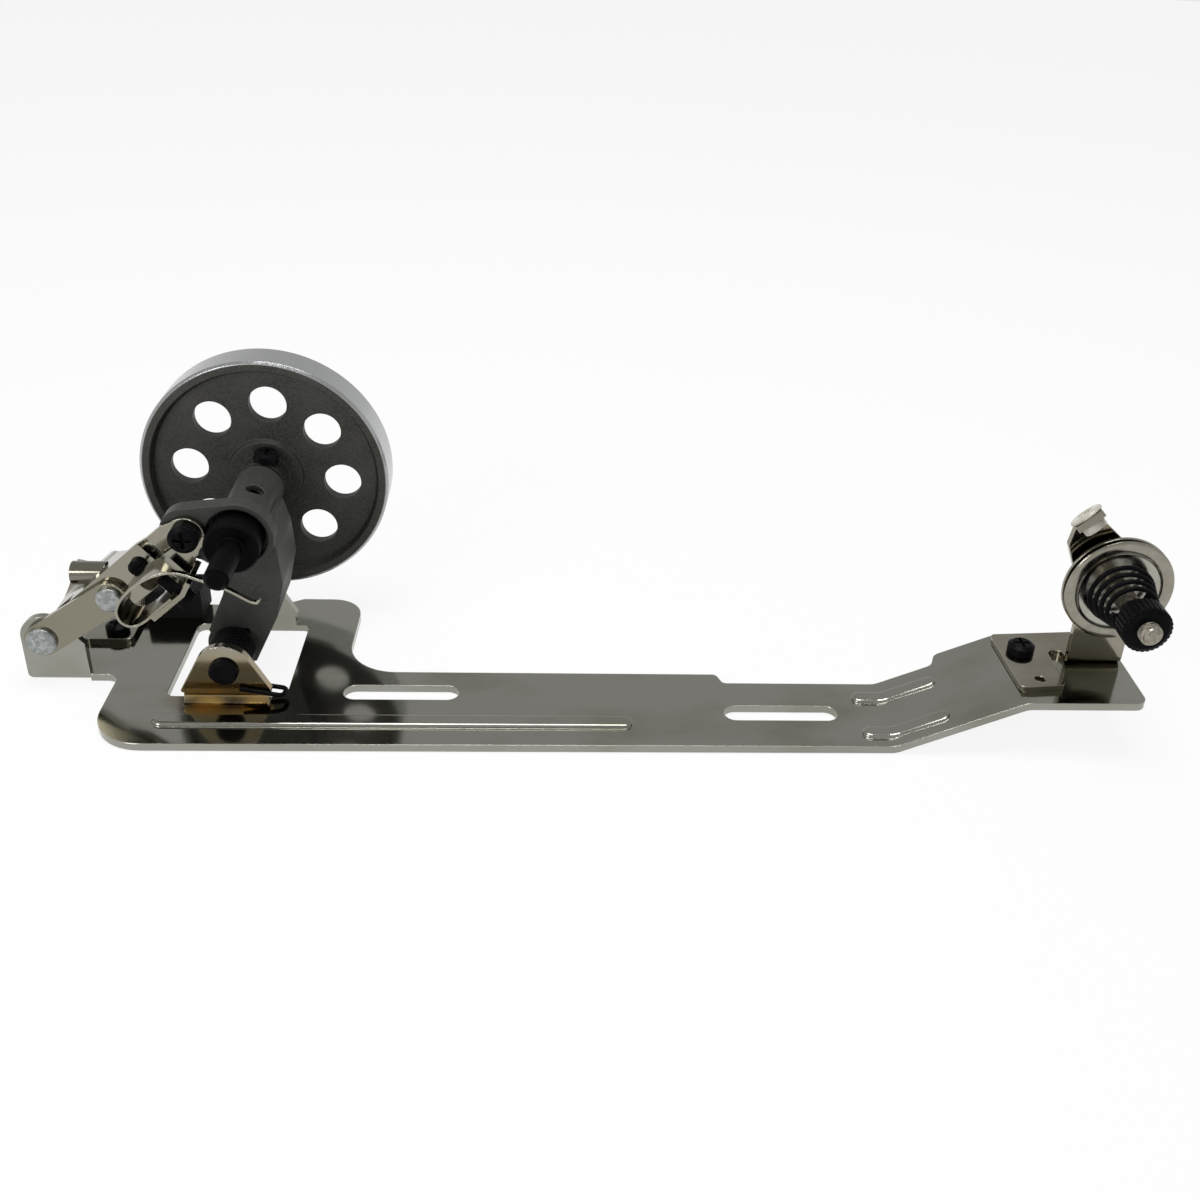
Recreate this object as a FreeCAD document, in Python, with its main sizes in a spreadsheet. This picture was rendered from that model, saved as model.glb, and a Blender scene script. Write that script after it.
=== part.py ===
"""Bobbin winder for an industrial sewing table: pressed base, swinging cast bracket, toggle and thread tension.

Frame: X runs along the base from the winding end (-X) to the tension end (+X), Y points to the belt side,
Z is up from the table top.  The origin lies on the underside, midway between the two mounting slots.
"""
import FreeCAD, Part
import os
import Sketcher
from FreeCAD import Placement, Rotation, Vector
from math import acos, atan2, cos, degrees, hypot, pi, radians, sin

SIZES = {
    # pressed base
    "plate_gauge": 2.0, "plate_front": 17.75, "arm_rear": 13.2, "arm_waist_rear": 9.2,
    "arm_waist_start": 33.0, "waist_run": 1.5, "waist_corner": 1.6, "deck_left": 119.8, "deck_rear": 49.5,
    "deck_notch": 3.5, "deck_right": 63.5, "deck_corner": 13.0, "deck_rear_corner": 8.4,
    "wing_left": 141.8, "wing_front": 11.2, "wing_rear": 35.0, "slot_spacing": 96.0, "slot_offset": 8.0,
    "slot_length": 29.0, "slot_width": 6.2, "window_width": 29.5, "window_front": 1.8,
    "window_depth": 34.0, "window_corner": 2.0, "ramp_start": 75.0, "ramp_end": 106.0, "ramp_rise": 13.2,
    "ramp_bend": 6.0, "end_right": 135.8, "end_widening": 90.6, "end_corner": 3.0, "bead_width": 4.6,
    "bead_height": 1.0, "bead_inset": 9.0, "bead_start": 104.0, "bead_end": 8.0, "rib_left": 67.2,
    "rib_right": 88.8, "rib_width": 4.4, "rib_inset": 5.4, "rib_pitch": 14.8, "rib_height": 1.0,
    # hinge between base and bracket
    "hinge_x": 90.3, "hinge_height": 10.9, "pin_diameter": 7.0, "ear_width": 22.8, "ear_gauge": 2.0,
    "ear_neck": 20.6, "ear_shoulder": 4.5, "ear_crown": 7.0, "ear_bend": 2.4, "ear_corner": 0.6,
    "wing_bend": 1.8, "wing_corner": 2.4, "window_shift": 0.8, "pin_bevel": 0.6, "clip_neck": 0.8,
    "clip_play": 0.3, "pin_front_reach": 1.6, "pin_rear_reach": 2.4, "clip_gauge": 0.8,
    "clip_diameter": 11.0, "running_gap": 0.05, "side_gap": 0.3,
    # cast bracket
    "spindle_x": 86.3, "spindle_height": 42.7, "face_y": 10.0, "face_depth": 4.2, "barrel_radius": 6.0,
    "barrel_end": 38.0, "hub_radius": 6.6, "hub_front": 12.2, "recess_radius": 7.3, "recess_depth": 3.2,
    "recess_wall": 1.5, "lug_radius": 6.4, "arm_depth": 18.0, "arm_bulge": 9.4, "arm_wall": 3.0,
    "oil_hole": 4.3, "oil_hole_y": 25.0, "oil_hole_right": 1.8, "lever_shank": 4.0, "arm_left": 4.9,
    "arm_left_drop": 16.0, "arm_root_rise": 4.0, "arm_toe": 5.0, "arm_toe_rise": 1.6, "arm_low_inset": 2.2,
    "arm_low_rise": 8.0, "arm_right_drop": 14.0, "arm_top_inset": 0.6, "arm_bend": 6.0,
    "arm_floor_rise": 8.4, "mark_inset": 4.8, "mark_drop": 17.2, "mark_radius": 2.6, "mark_depth": 0.3,
    "cast_edge": 0.4, "bush_radius": 4.3, "bush_length": 9.0, "bush_flange": 6.4, "bush_flange_gauge": 1.0,
    # spindle and driving wheel
    "spindle_diameter": 5.9, "shaft_diameter": 6.4, "spindle_tip_y": 11.2, "spindle_bevel": 0.9,
    "groove_front": 1.2, "groove_end_gap": 1.0, "groove_extra": 0.5, "collar_edge": 0.5,
    "collar_diameter": 13.2, "collar_length": 8.0, "collar_front_y": 3.9, "grip_wire": 0.8,
    "wheel_radius": 32.1, "rim_front_y": 43.8, "rim_width": 10.4, "rim_wall": 2.6, "web_thickness": 2.6,
    "web_set_back": 2.2, "wheel_hub_radius": 6.2, "wheel_boss_radius": 9.4, "wheel_hub_reach": 5.0,
    "hole_circle": 19.8, "hole_radius": 4.9, "hole_count": 8, "hole_turn": -5.6, "set_screw_turn": 12.0,
    "set_screw_diameter": 6.4, "set_screw_shank": 3.0, "set_screw_head": 2.5, "rim_bevel": 0.6,
    "rim_foot": 0.8, "boss_step": 1.2, "boss_slope": 0.6, "hub_rear_gap": 1.0,
    # toggle linkage
    "link_pivot_x": 136.5, "link_pivot_height": 13.0, "knee_x": 118.5, "knee_height": 25.3,
    "lever_pivot_x": 97.9, "lever_pivot_height": 43.7, "link_gauge": 1.5, "link_width": 8.6,
    "link_front_y": 9.5, "rivet_diameter": 7.4, "rivet_shank": 3.6, "knee_rivet_diameter": 6.4,
    "rivet_head": 1.2, "wing_ear_radius": 5.8, "wing_ear_right": 127.0, "wing_ear_shoulder": 11.0,
    "lever_gauge": 1.5, "lever_width": 11.2, "lever_joggle_start": 7.0, "lever_joggle_end": 12.5,
    "flange_start": 15.7, "flange_end": 36.5, "flange_depth": 8.6, "flange_lip": 0.3, "flange_slant": 42.0,
    "thumb_radius": 6.5, "thumb_left": 5.1, "thumb_lean": 2.8, "thumb_height": 8.6, "shelf_start": 3.0,
    "shelf_end": 15.5, "shelf_drop": 8.8, "shelf_reach": 10.5, "pan_screw_diameter": 7.2,
    "pan_screw_head": 2.6, "knee_slack": 1.45, "small_shank": 3.5, "twist_wire": 1.2, "twist_radius": 5.0,
    "shelf_gauge": 1.2, "screw_crown": 0.6, "recess_width": 0.9, "recess_deep": 1.0,
    "adjuster_diameter": 3.0, "lever_edge": 5.5, "lever_nose": 4.7, "thumb_rise": 13.4, "finger_drop": 8.4,
    # latch finger
    "finger_gauge": 0.6, "finger_width": 4.4, "finger_bend": 5.0, "finger_foot": 9.0, "finger_loop": 21.6,
    "finger_loop_left": 24.2, "finger_loop_low": 2.8, "finger_rise": 18.6, "finger_rise_up": 1.4,
    "finger_tip_reach": 6.0, "finger_tip_drop": 11.8, "finger_toe": 1.3, "finger_crest_drop": 4.3,
    "finger_rear_gap": 1.4, "finger_hole_play": 0.2, "finger_under": 1.5,
    # brake
    "brake_gauge": 1.5, "brake_foot_left": 133.0, "brake_foot_right": 120.6, "brake_foot_front": 25.5,
    "brake_foot_rear": 47.0, "pad_length": 15.0, "pad_depth": 9.5, "pad_height": 9.0, "pad_front": 38.6,
    "pad_edge": 1.2, "tongue_reach": 11.0, "tongue_rise": 6.5, "brake_screw_head": 6.0,
    "brake_screw_rise": 2.2,
    # thread tension
    "upright_gauge": 1.6, "foot_left": 103.8, "foot_rear": 11.0, "foot_front": 13.2, "foot_skew": 1.1,
    "foot_waist": 116.6, "foot_notch": 1.7, "foot_corner": 1.5, "foot_screw_head": 6.8,
    "foot_screw_rise": 2.4, "upright_left": 120.7, "upright_right": 134.9, "upright_front": 0.4,
    "upright_shoulder": 44.0, "upright_bend": 2.2, "shoulder_corner": 4.0, "shoulder_drop": 9.5,
    "lean_run": 6.6, "lean_rise": 7.0, "flare_drop": 4.8, "tab_root": 0.4, "stud_x": 128.0,
    "stud_height": 39.3, "stud_diameter": 5.4, "stud_tip_y": 25.6, "disc_diameter": 27.2,
    "disc_gauge": 0.7, "disc_dish": 0.4, "disc_web_y": 3.9, "nut_diameter": 12.0, "nut_length": 7.4,
    "nut_face_y": 23.0, "nut_neck_length": 2.2, "nut_neck_step": 1.4, "nut_bevel": 0.6,
    "nut_crown_step": 1.2, "knurl_depth": 0.45, "knurl_half_width": 0.55, "nut_knurls": 30,
    "coil_wire": 1.2, "coil_big_radius": 8.0, "coil_small_radius": 4.6, "coil_turns": 4.0,
    "eyelet_flange": 8.4, "eyelet_sleeve": 5.8, "eyelet_bore": 3.2, "tab_length": 8.4,
    "tab_low_left": 12.6, "tab_low_rise": 15.1, "tab_high_left": 7.2, "tab_high_rise": 20.0,
    "spare_hole": 2.7, "disc_clearance": 0.15, "disc_gap": 0.1,
}

doc = FreeCAD.newDocument("BobbinWinder")
sheet = doc.addObject("Spreadsheet::Sheet", "Sizes")
for row, (alias, number) in enumerate(SIZES.items(), start=1):
    sheet.set("A%d" % row, alias)
    sheet.set("B%d" % row, str(number))
    sheet.setAlias("B%d" % row, alias)
doc.recompute()


class Size:
    """A number together with the spreadsheet expression that it comes from."""

    def __init__(self, number, text):
        self.number = number
        self.text = text

    def join(self, other, sign, turned=False):
        first, second = (as_size(other), self) if turned else (self, as_size(other))
        number = {"+": lambda a, b: a + b, "-": lambda a, b: a - b,
                  "*": lambda a, b: a * b, "/": lambda a, b: a / b}[sign](first.number, second.number)
        return Size(number, "(%s %s %s)" % (first.text, sign, second.text))

    def __add__(self, other):
        return self.join(other, "+")

    def __radd__(self, other):
        return self.join(other, "+", turned=True)

    def __sub__(self, other):
        return self.join(other, "-")

    def __rsub__(self, other):
        return self.join(other, "-", turned=True)

    def __mul__(self, other):
        return self.join(other, "*")

    def __rmul__(self, other):
        return self.join(other, "*", turned=True)

    def __truediv__(self, other):
        return self.join(other, "/")

    def __neg__(self):
        return self.join(-1.0, "*")

    def __float__(self):
        return float(self.number)


def as_size(value):
    """Wrap a bare number, so that sizes and numbers mix in one expression."""
    return value if isinstance(value, Size) else Size(float(value), "%.6g" % value)


class Sheet:
    """Reads the spreadsheet: s.slot_length is the cell with that alias, as a Size."""

    def __getattr__(self, alias):
        return Size(float(sheet.get(alias)), "Sizes." + alias)


s = Sheet()
parts = []


# ---------------------------------------------------------------- drawing helpers
def new_body(label, placement=None):
    """An empty body, listed for export under its label."""
    body = doc.addObject("PartDesign::Body", label)
    body.Label = label
    if placement is not None:
        body.Placement = placement
    parts.append(body)
    return body


def new_feature(label, shape, placement=None):
    """A free shape, for forms that no sketch feature makes."""
    item = doc.addObject("Part::Feature", label)
    item.Label = label
    item.Shape = shape
    if placement is not None:
        item.Placement = placement
    parts.append(item)
    return item


def bind(item, path, value):
    """Set a property or constraint and tie it to the spreadsheet."""
    item.setExpression(path, as_size(value).text)


def sketch_on(body, role, offset=0.0):
    """A sketch on one of the body's own origin planes, moved along the plane's normal."""
    plane = next(f for f in body.Origin.OriginFeatures if f.Role == role)
    sketch = body.newObject("Sketcher::SketchObject", body.Name + "_sketch")
    sketch.AttachmentSupport = [(plane, "")]
    sketch.MapMode = "FlatFace"
    sketch.AttachmentOffset = Placement(Vector(0, 0, float(offset)), Rotation())
    bind(sketch, "AttachmentOffset.Base.z", offset)
    return sketch


def pin_point(sketch, geometry, end, x, y):
    """Fix one point of a sketch at a place measured from the sketch origin."""
    for kind, value in (("DistanceX", x), ("DistanceY", y)):
        index = sketch.addConstraint(Sketcher.Constraint(kind, -1, 1, geometry, end, float(value)))
        bind(sketch, "Constraints[%d]" % index, value)


def polygon(sketch, points):
    """A closed outline of straight lines through the points."""
    ends = [Vector(float(x), float(y), 0) for x, y in points]
    lines = [sketch.addGeometry(Part.LineSegment(a, b), False) for a, b in zip(ends, ends[1:] + ends[:1])]
    for line, after, (x, y) in zip(lines, lines[1:] + lines[:1], points):
        sketch.addConstraint(Sketcher.Constraint("Coincident", line, 2, after, 1))
        pin_point(sketch, line, 1, x, y)
    return sketch


def circle(sketch, x, y, radius):
    """A full circle."""
    ring = sketch.addGeometry(Part.Circle(Vector(float(x), float(y), 0), Vector(0, 0, 1), float(radius)), False)
    pin_point(sketch, ring, 3, x, y)
    index = sketch.addConstraint(Sketcher.Constraint("Radius", ring, float(radius)))
    bind(sketch, "Constraints[%d]" % index, radius)
    return sketch


def obround(sketch, x1, x2, y, radius):
    """A slot outline along the sketch's X, between the centres of its two round ends."""
    left, right, level, r = float(x1), float(x2), float(y), float(radius)
    up, down = radians(90), radians(270)
    end_a = sketch.addGeometry(Part.ArcOfCircle(Part.Circle(Vector(left, level, 0), Vector(0, 0, 1), r), up, down))
    end_b = sketch.addGeometry(Part.ArcOfCircle(Part.Circle(Vector(right, level, 0), Vector(0, 0, 1), r), -up, up))
    low = sketch.addGeometry(Part.LineSegment(Vector(left, level - r, 0), Vector(right, level - r, 0)))
    top = sketch.addGeometry(Part.LineSegment(Vector(right, level + r, 0), Vector(left, level + r, 0)))
    for a, a_end, b, b_end in ((end_a, 2, low, 1), (low, 2, end_b, 1), (end_b, 2, top, 1), (top, 2, end_a, 1)):
        sketch.addConstraint(Sketcher.Constraint("Tangent", a, a_end, b, b_end))
    pin_point(sketch, end_a, 3, x1, y)
    pin_point(sketch, end_b, 3, x2, y)
    index = sketch.addConstraint(Sketcher.Constraint("Radius", end_a, r))
    bind(sketch, "Constraints[%d]" % index, radius)
    return sketch


def finish_feature(body, feature):
    doc.recompute()
    body.Tip = feature
    return feature


def pad(sketch, length, reverse=False, symmetric=False):
    """Add material along the sketch's normal."""
    body = sketch.getParentGeoFeatureGroup()
    feature = body.newObject("PartDesign::Pad", body.Name + "_pad")
    feature.Profile = sketch
    feature.Reversed = reverse
    feature.Midplane = symmetric
    bind(feature, "Length", length)
    return finish_feature(body, feature)


def pocket(sketch, depth=None, reverse=False, both=False):
    """Remove material against the sketch's normal, through all of it when no depth is given."""
    body = sketch.getParentGeoFeatureGroup()
    before = body.Shape.Volume
    feature = body.newObject("PartDesign::Pocket", body.Name + "_pocket")
    feature.Profile = sketch
    feature.Reversed = reverse
    feature.Midplane = both
    if depth is None:
        feature.Type = "ThroughAll"
    else:
        bind(feature, "Length", depth)
    finish_feature(body, feature)
    if not feature.Shape.Volume < before - 1e-4:
        raise RuntimeError("a pocket of %s cuts nothing" % body.Label)
    return feature


def revolve(sketch, groove=False):
    """Turn the profile about the sketch's horizontal axis."""
    body = sketch.getParentGeoFeatureGroup()
    kind = "PartDesign::Groove" if groove else "PartDesign::Revolution"
    feature = body.newObject(kind, body.Name + "_turned")
    feature.Profile = sketch
    feature.ReferenceAxis = (sketch, ["H_Axis"])
    feature.Angle = 360.0
    return finish_feature(body, feature)


def round_edges(body, radius, chosen, kind="Fillet"):
    """Fillet or chamfer the edges for which chosen(edge) holds."""
    base = body.Tip
    names = ["Edge%d" % (i + 1) for i, edge in enumerate(base.Shape.Edges) if chosen(edge)]
    if not names:
        raise RuntimeError("no edge to round on %s" % body.Label)
    feature = body.newObject("PartDesign::" + kind, body.Name + "_" + kind.lower())
    feature.Base = (base, names)
    bind(feature, "Radius" if kind == "Fillet" else "Size", radius)
    return finish_feature(body, feature)


def polar(body, feature, count, role="X_Axis"):
    """Repeat a feature round one of the body's own axes."""
    axis = next(f for f in body.Origin.OriginFeatures if f.Role == role)
    pattern = body.newObject("PartDesign::PolarPattern", body.Name + "_pattern")
    pattern.Originals = [feature]
    pattern.Axis = (axis, [""])
    pattern.Angle = 360.0
    pattern.Occurrences = int(float(count))
    bind(pattern, "Occurrences", count)
    return finish_feature(body, pattern)


def upright_edge_at(places, axes=(0, 1), tolerance=0.05):
    """Chooses straight edges that stand on one of the places, seen along the remaining axis."""
    spots = [(float(a), float(b)) for a, b in places]

    def chosen(edge):
        if len(edge.Vertexes) != 2:
            return False
        ends = [(v.Point[axes[0]], v.Point[axes[1]]) for v in edge.Vertexes]
        return any(all(hypot(p[0] - a, p[1] - b) < tolerance for p in ends) for a, b in spots)
    return chosen


def axis_along_y(x, y, z):
    """Places a turned part, drawn about its own X axis, with that axis along the winder's Y."""
    return Placement(Vector(float(x), float(y), float(z)), Rotation(Vector(0, 0, 1), 90))


def turned(label, profile, placement):
    """A turned part from its half profile: pairs of axial place and radius."""
    body = new_body(label, placement)
    revolve(polygon(sketch_on(body, "XY_Plane"), profile))
    return body


# ---------------------------------------------------------------- places that several pieces share
hinge_x, hinge_z = -s.hinge_x, s.hinge_height
spindle_x, spindle_z = -s.spindle_x, s.spindle_height
link_x, link_z = -s.link_pivot_x, s.link_pivot_height
knee_x, knee_z = -s.knee_x, s.knee_height
lever_x, lever_z = -s.lever_pivot_x, s.lever_pivot_height
front_ear_y = s.window_front - s.ear_gauge
rear_ear_y = s.window_front + s.window_depth
end_top = s.ramp_rise + s.plate_gauge
link_length = hypot(float(knee_x - link_x), float(knee_z - link_z))
link_angle = degrees(atan2(float(knee_z - link_z), float(knee_x - link_x)))
lever_length = hypot(float(lever_x - knee_x), float(lever_z - knee_z))
lever_angle = degrees(atan2(float(lever_z - knee_z), float(lever_x - knee_x)))
lever_front_y = s.face_y - s.lever_gauge - 0.1
lever_rear_y = s.link_front_y + s.link_gauge + 0.2 + s.lever_gauge
adjuster_x, adjuster_y = -9.6, 3.4
finger_screw_x, finger_screw_z = -16.3, 1.2
shaft_radius = s.shaft_diameter / 2
brake_screw_x, brake_screw_y = -s.brake_foot_right - 4.9, s.brake_foot_front + 4.5
foot_screw_x, foot_screw_y = s.foot_left + 5.9, s.foot_rear - 7.6
lever_frame = Placement(Vector(float(lever_x), 0, float(lever_z)), Rotation(Vector(0, 1, 0), -lever_angle))
link_frame = Placement(Vector(float(link_x), 0, float(link_z)), Rotation(Vector(0, 1, 0), -link_angle))
BIG = 400.0


def twist_end_place():
    """Where the torsion spring's rear end enters the cast bracket: beside its coil, up to the right."""
    angle = radians(63)
    radius = float(s.twist_radius)
    reach = 1.0 * float(s.twist_wire)
    x = float(hinge_x) + radius * cos(angle) + reach * sin(angle)
    return x, float(hinge_z) + radius * sin(angle) - reach * cos(angle)


spring_hole_x, spring_hole_z = twist_end_place()


def rectangle(sketch, x1, x2, y1, y2):
    return polygon(sketch, [(x1, y1), (x2, y1), (x2, y2), (x1, y2)])


def trim(body, role, outline):
    """Cut away all that lies outside an outline, seen along the plane's normal."""
    sketch = sketch_on(body, role)
    rectangle(sketch, -BIG, BIG, -BIG, BIG)
    polygon(sketch, outline)
    return pocket(sketch, both=True)


def drill(body, role, places, radius, depth=None, offset=0.0, reverse=False, both=True):
    """Round holes of one size."""
    sketch = sketch_on(body, role, offset)
    for x, y in places:
        circle(sketch, x, y, radius)
    return pocket(sketch, depth, reverse=reverse, both=both and depth is None)


# ---------------------------------------------------------------- pressed base
def ear_outline():
    """Lug of the hinge pin: narrow neck, wider shoulders, two sides that touch the crown circle round the pin."""
    half, neck = float(s.ear_width) / 2, float(s.ear_neck) / 2
    crown = float(s.ear_crown)
    foot, shoulder = float(s.plate_gauge) / 2, float(s.ear_shoulder)
    rise = float(hinge_z) - shoulder
    spread = half * half - crown * crown
    tip = (rise * half * half + half * crown * (rise * rise + spread) ** 0.5) / spread
    x = float(hinge_x)
    return [(x - neck, foot), (x + neck, foot), (x + neck, shoulder), (x + half, shoulder), (x, shoulder + tip),
            (x - half, shoulder), (x - neck, shoulder)]


def corner_scrap(sketch, x, y, way_x, way_y, radius):
    """The scrap outside the arc that rounds a square corner; the ways point from the corner into the piece."""
    x0, y0, r = float(x), float(y), float(radius)
    along, up = Vector(x0 + way_x * r, y0, 0), Vector(x0, y0 + way_y * r, 0)
    inset = r * (1 - cos(radians(45)))
    middle = Vector(x0 + way_x * inset, y0 + way_y * inset, 0)
    sketch.addGeometry(Part.LineSegment(Vector(x0, y0, 0), along), False)
    sketch.addGeometry(Part.Arc(along, middle, up), False)
    sketch.addGeometry(Part.LineSegment(up, Vector(x0, y0, 0)), False)
    return sketch


def ramp_height(x):
    """Height of the pressing's top face over its flat arm and its ramp."""
    slope = s.ramp_rise / (s.ramp_end - s.ramp_start)
    return s.plate_gauge + slope * (x - s.ramp_start)


def ramp_ribs():
    """Two embossed beads that stiffen the bend at the foot of the ramp, made beside the pressing and joined to it."""
    ribs = doc.addObject("PartDesign::Body", "ramp_ribs")
    past, deep = s.ramp_end, s.plate_gauge / 2
    start, bend, top = s.rib_left - s.rib_width, s.ramp_start, s.plate_gauge + s.rib_height
    rear_y = s.rib_inset + s.rib_pitch - s.plate_front
    front_y = s.rib_inset - s.plate_front
    band = [(start, deep), (bend, deep), (past, ramp_height(past) - deep), (past, ramp_height(past) + s.rib_height),
            (bend, top), (start, top)]
    pad(polygon(sketch_on(ribs, "XZ_Plane", s.rib_width - front_y), band), s.rib_pitch + s.rib_width * 2, reverse=True)
    round_edges(ribs, s.ramp_bend, upright_edge_at([(bend, top)], axes=(0, 2)))
    plan = sketch_on(ribs, "XY_Plane")
    rectangle(plan, -BIG, BIG, -BIG, BIG)
    radius = s.rib_width / 2
    for y in (front_y, rear_y):
        obround(plan, s.rib_left + radius, s.rib_right - radius, y, radius)
    pocket(plan, both=True)
    hover = float(s.rib_height) * 0.5

    def along_top(edge):
        middle = edge.CenterOfMass
        return middle.z > max(float(s.plate_gauge), float(ramp_height(middle.x))) + hover
    round_edges(ribs, s.rib_height * 0.9, along_top)
    return ribs


def base_plate():
    """One pressing: blank outline, ramp to the raised end, window, three bent-up ears, beads and slots."""
    body = new_body("base_plate")
    gauge = s.plate_gauge
    slope = float(s.ramp_rise) / float(s.ramp_end - s.ramp_start)
    fold = float(gauge) * (hypot(1.0, slope) - 1.0) / slope
    side = [(-s.wing_left, 0), (s.ramp_start, 0), (s.ramp_end, s.ramp_rise), (s.end_right, s.ramp_rise),
            (s.end_right, end_top), (s.ramp_end - fold, end_top), (s.ramp_start - fold, gauge),
            (-s.wing_left, gauge)]
    pad(polygon(sketch_on(body, "XZ_Plane", s.plate_front), side), s.plate_front + s.deck_rear, reverse=True)
    bends = [(s.ramp_start, 0), (s.ramp_start - fold, gauge), (s.ramp_end, s.ramp_rise),
             (s.ramp_end - fold, end_top)]
    round_edges(body, s.ramp_bend, upright_edge_at(bends, axes=(0, 2)))
    rear_left_y = s.deck_rear - s.deck_notch
    outline = [(-s.deck_left, -s.plate_front), (s.end_right, -s.plate_front), (s.end_right, s.arm_rear),
               (s.end_widening, s.arm_rear), (s.end_widening - s.waist_run, s.arm_waist_rear),
               (s.arm_waist_start + s.waist_run, s.arm_waist_rear), (s.arm_waist_start, s.arm_rear),
               (-s.deck_right, s.arm_rear), (-s.deck_right, s.deck_rear),
               (spindle_x + s.barrel_radius, s.deck_rear), (spindle_x, rear_left_y), (-s.deck_left, rear_left_y),
               (-s.deck_left, s.wing_rear), (-s.wing_left, s.wing_rear), (-s.wing_left, s.wing_front),
               (-s.deck_left, s.wing_front)]
    trim(body, "XY_Plane", outline)
    window_x = hinge_x - s.window_shift
    window = sketch_on(body, "XY_Plane")
    rectangle(window, window_x - s.window_width / 2, window_x + s.window_width / 2,
              s.window_front, s.window_front + s.window_depth)
    pocket(window, both=True)
    corners = [(window_x + side_sign * s.window_width / 2, y) for side_sign in (-1, 1)
               for y in (s.window_front, s.window_front + s.window_depth)]
    round_edges(body, s.window_corner, upright_edge_at(corners))
    round_edges(body, s.deck_corner, upright_edge_at([outline[0], outline[7]]))
    round_edges(body, s.end_corner, upright_edge_at([outline[i] for i in (1, 2, 11, 12, 13, 15)]))
    round_edges(body, s.waist_corner, upright_edge_at([outline[i] for i in (3, 4, 5, 6)]))
    round_edges(body, s.deck_rear_corner, upright_edge_at([outline[8]]))
    # ears for the hinge pin, at the window's front and rear edges
    for ear_y in (front_ear_y, rear_ear_y):
        pad(polygon(sketch_on(body, "XZ_Plane", -ear_y), ear_outline()), s.ear_gauge, reverse=True)
    lug = ear_outline()
    round_edges(body, s.ear_crown, upright_edge_at([lug[4]], axes=(0, 2)))
    round_edges(body, s.ear_corner, upright_edge_at([lug[3], lug[5]], axes=(0, 2)))
    # ear of the link rivet, at the front edge of the side wing
    wing_ear = sketch_on(body, "XZ_Plane", -s.wing_front)
    crown = s.wing_ear_radius
    toward_shoulder = radians(36)
    polygon(wing_ear, [(link_x - crown, 0), (-s.wing_ear_right, 0), (-s.wing_ear_right, s.wing_ear_shoulder),
                       (link_x + crown * cos(toward_shoulder), link_z + crown * sin(toward_shoulder)),
                       (link_x, link_z), (link_x - crown, link_z)])
    pad(wing_ear, s.ear_gauge, reverse=True)
    pad(circle(sketch_on(body, "XZ_Plane", -s.wing_front), link_x, link_z, crown), s.ear_gauge, reverse=True)
    ear_left = link_x - crown
    bend = sketch_on(body, "YZ_Plane", ear_left)
    pocket(corner_scrap(bend, s.wing_front, 0, 1, 1, s.wing_bend), crown - link_x - s.wing_ear_right, reverse=True)
    pocket(corner_scrap(sketch_on(body, "XZ_Plane", -s.wing_front), ear_left, 0, 1, 1, s.wing_corner), s.ear_gauge)
    # stiffening bead along the front, raised from below
    bead_y = s.bead_inset - s.plate_front
    pad(obround(sketch_on(body, "XY_Plane", gauge), -s.bead_start, s.bead_end, bead_y, s.bead_width / 2),
        s.bead_height)
    hollow = obround(sketch_on(body, "XY_Plane"), -s.bead_start, s.bead_end, bead_y,
                     s.bead_width / 2 - s.bead_height)
    pocket(hollow, s.bead_height, reverse=True)
    bead_top = float(gauge + s.bead_height)
    round_edges(body, s.bead_height * 0.8, lambda edge: edge.BoundBox.ZMin > bead_top - 0.01
                and edge.BoundBox.ZMax < bead_top + 0.01)
    joined = body.newObject("PartDesign::Boolean", "join_ribs")
    joined.setObjects([ramp_ribs()])
    joined.Type = "Fuse"
    finish_feature(body, joined)
    # holes: mounting slots, hinge pin, link rivet, brake screw, tension bracket screw
    for side_sign in (-1, 1):
        centre, half = side_sign * s.slot_spacing / 2, s.slot_length / 2 - s.slot_width / 2
        slot = obround(sketch_on(body, "XY_Plane"), centre - half, centre + half,
                       -side_sign * s.slot_offset / 2, s.slot_width / 2)
        pocket(slot, both=True)
    drill(body, "XZ_Plane", [(hinge_x, hinge_z)], s.pin_diameter / 2)
    drill(body, "XZ_Plane", [(link_x, link_z)], s.rivet_shank / 2)
    drill(body, "XY_Plane", [(brake_screw_x, brake_screw_y)], s.small_shank / 2)
    drill(body, "XY_Plane", [(foot_screw_x, foot_screw_y)], s.small_shank / 2)
    front_bend = float(front_ear_y)
    round_edges(body, s.ear_bend, lambda edge: abs(edge.BoundBox.ZMin - float(gauge)) < 0.01
                and abs(edge.BoundBox.ZMax - float(gauge)) < 0.01
                and abs(edge.BoundBox.YMin - front_bend) < 0.01 and abs(edge.BoundBox.YMax - front_bend) < 0.01)
    return body


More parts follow.
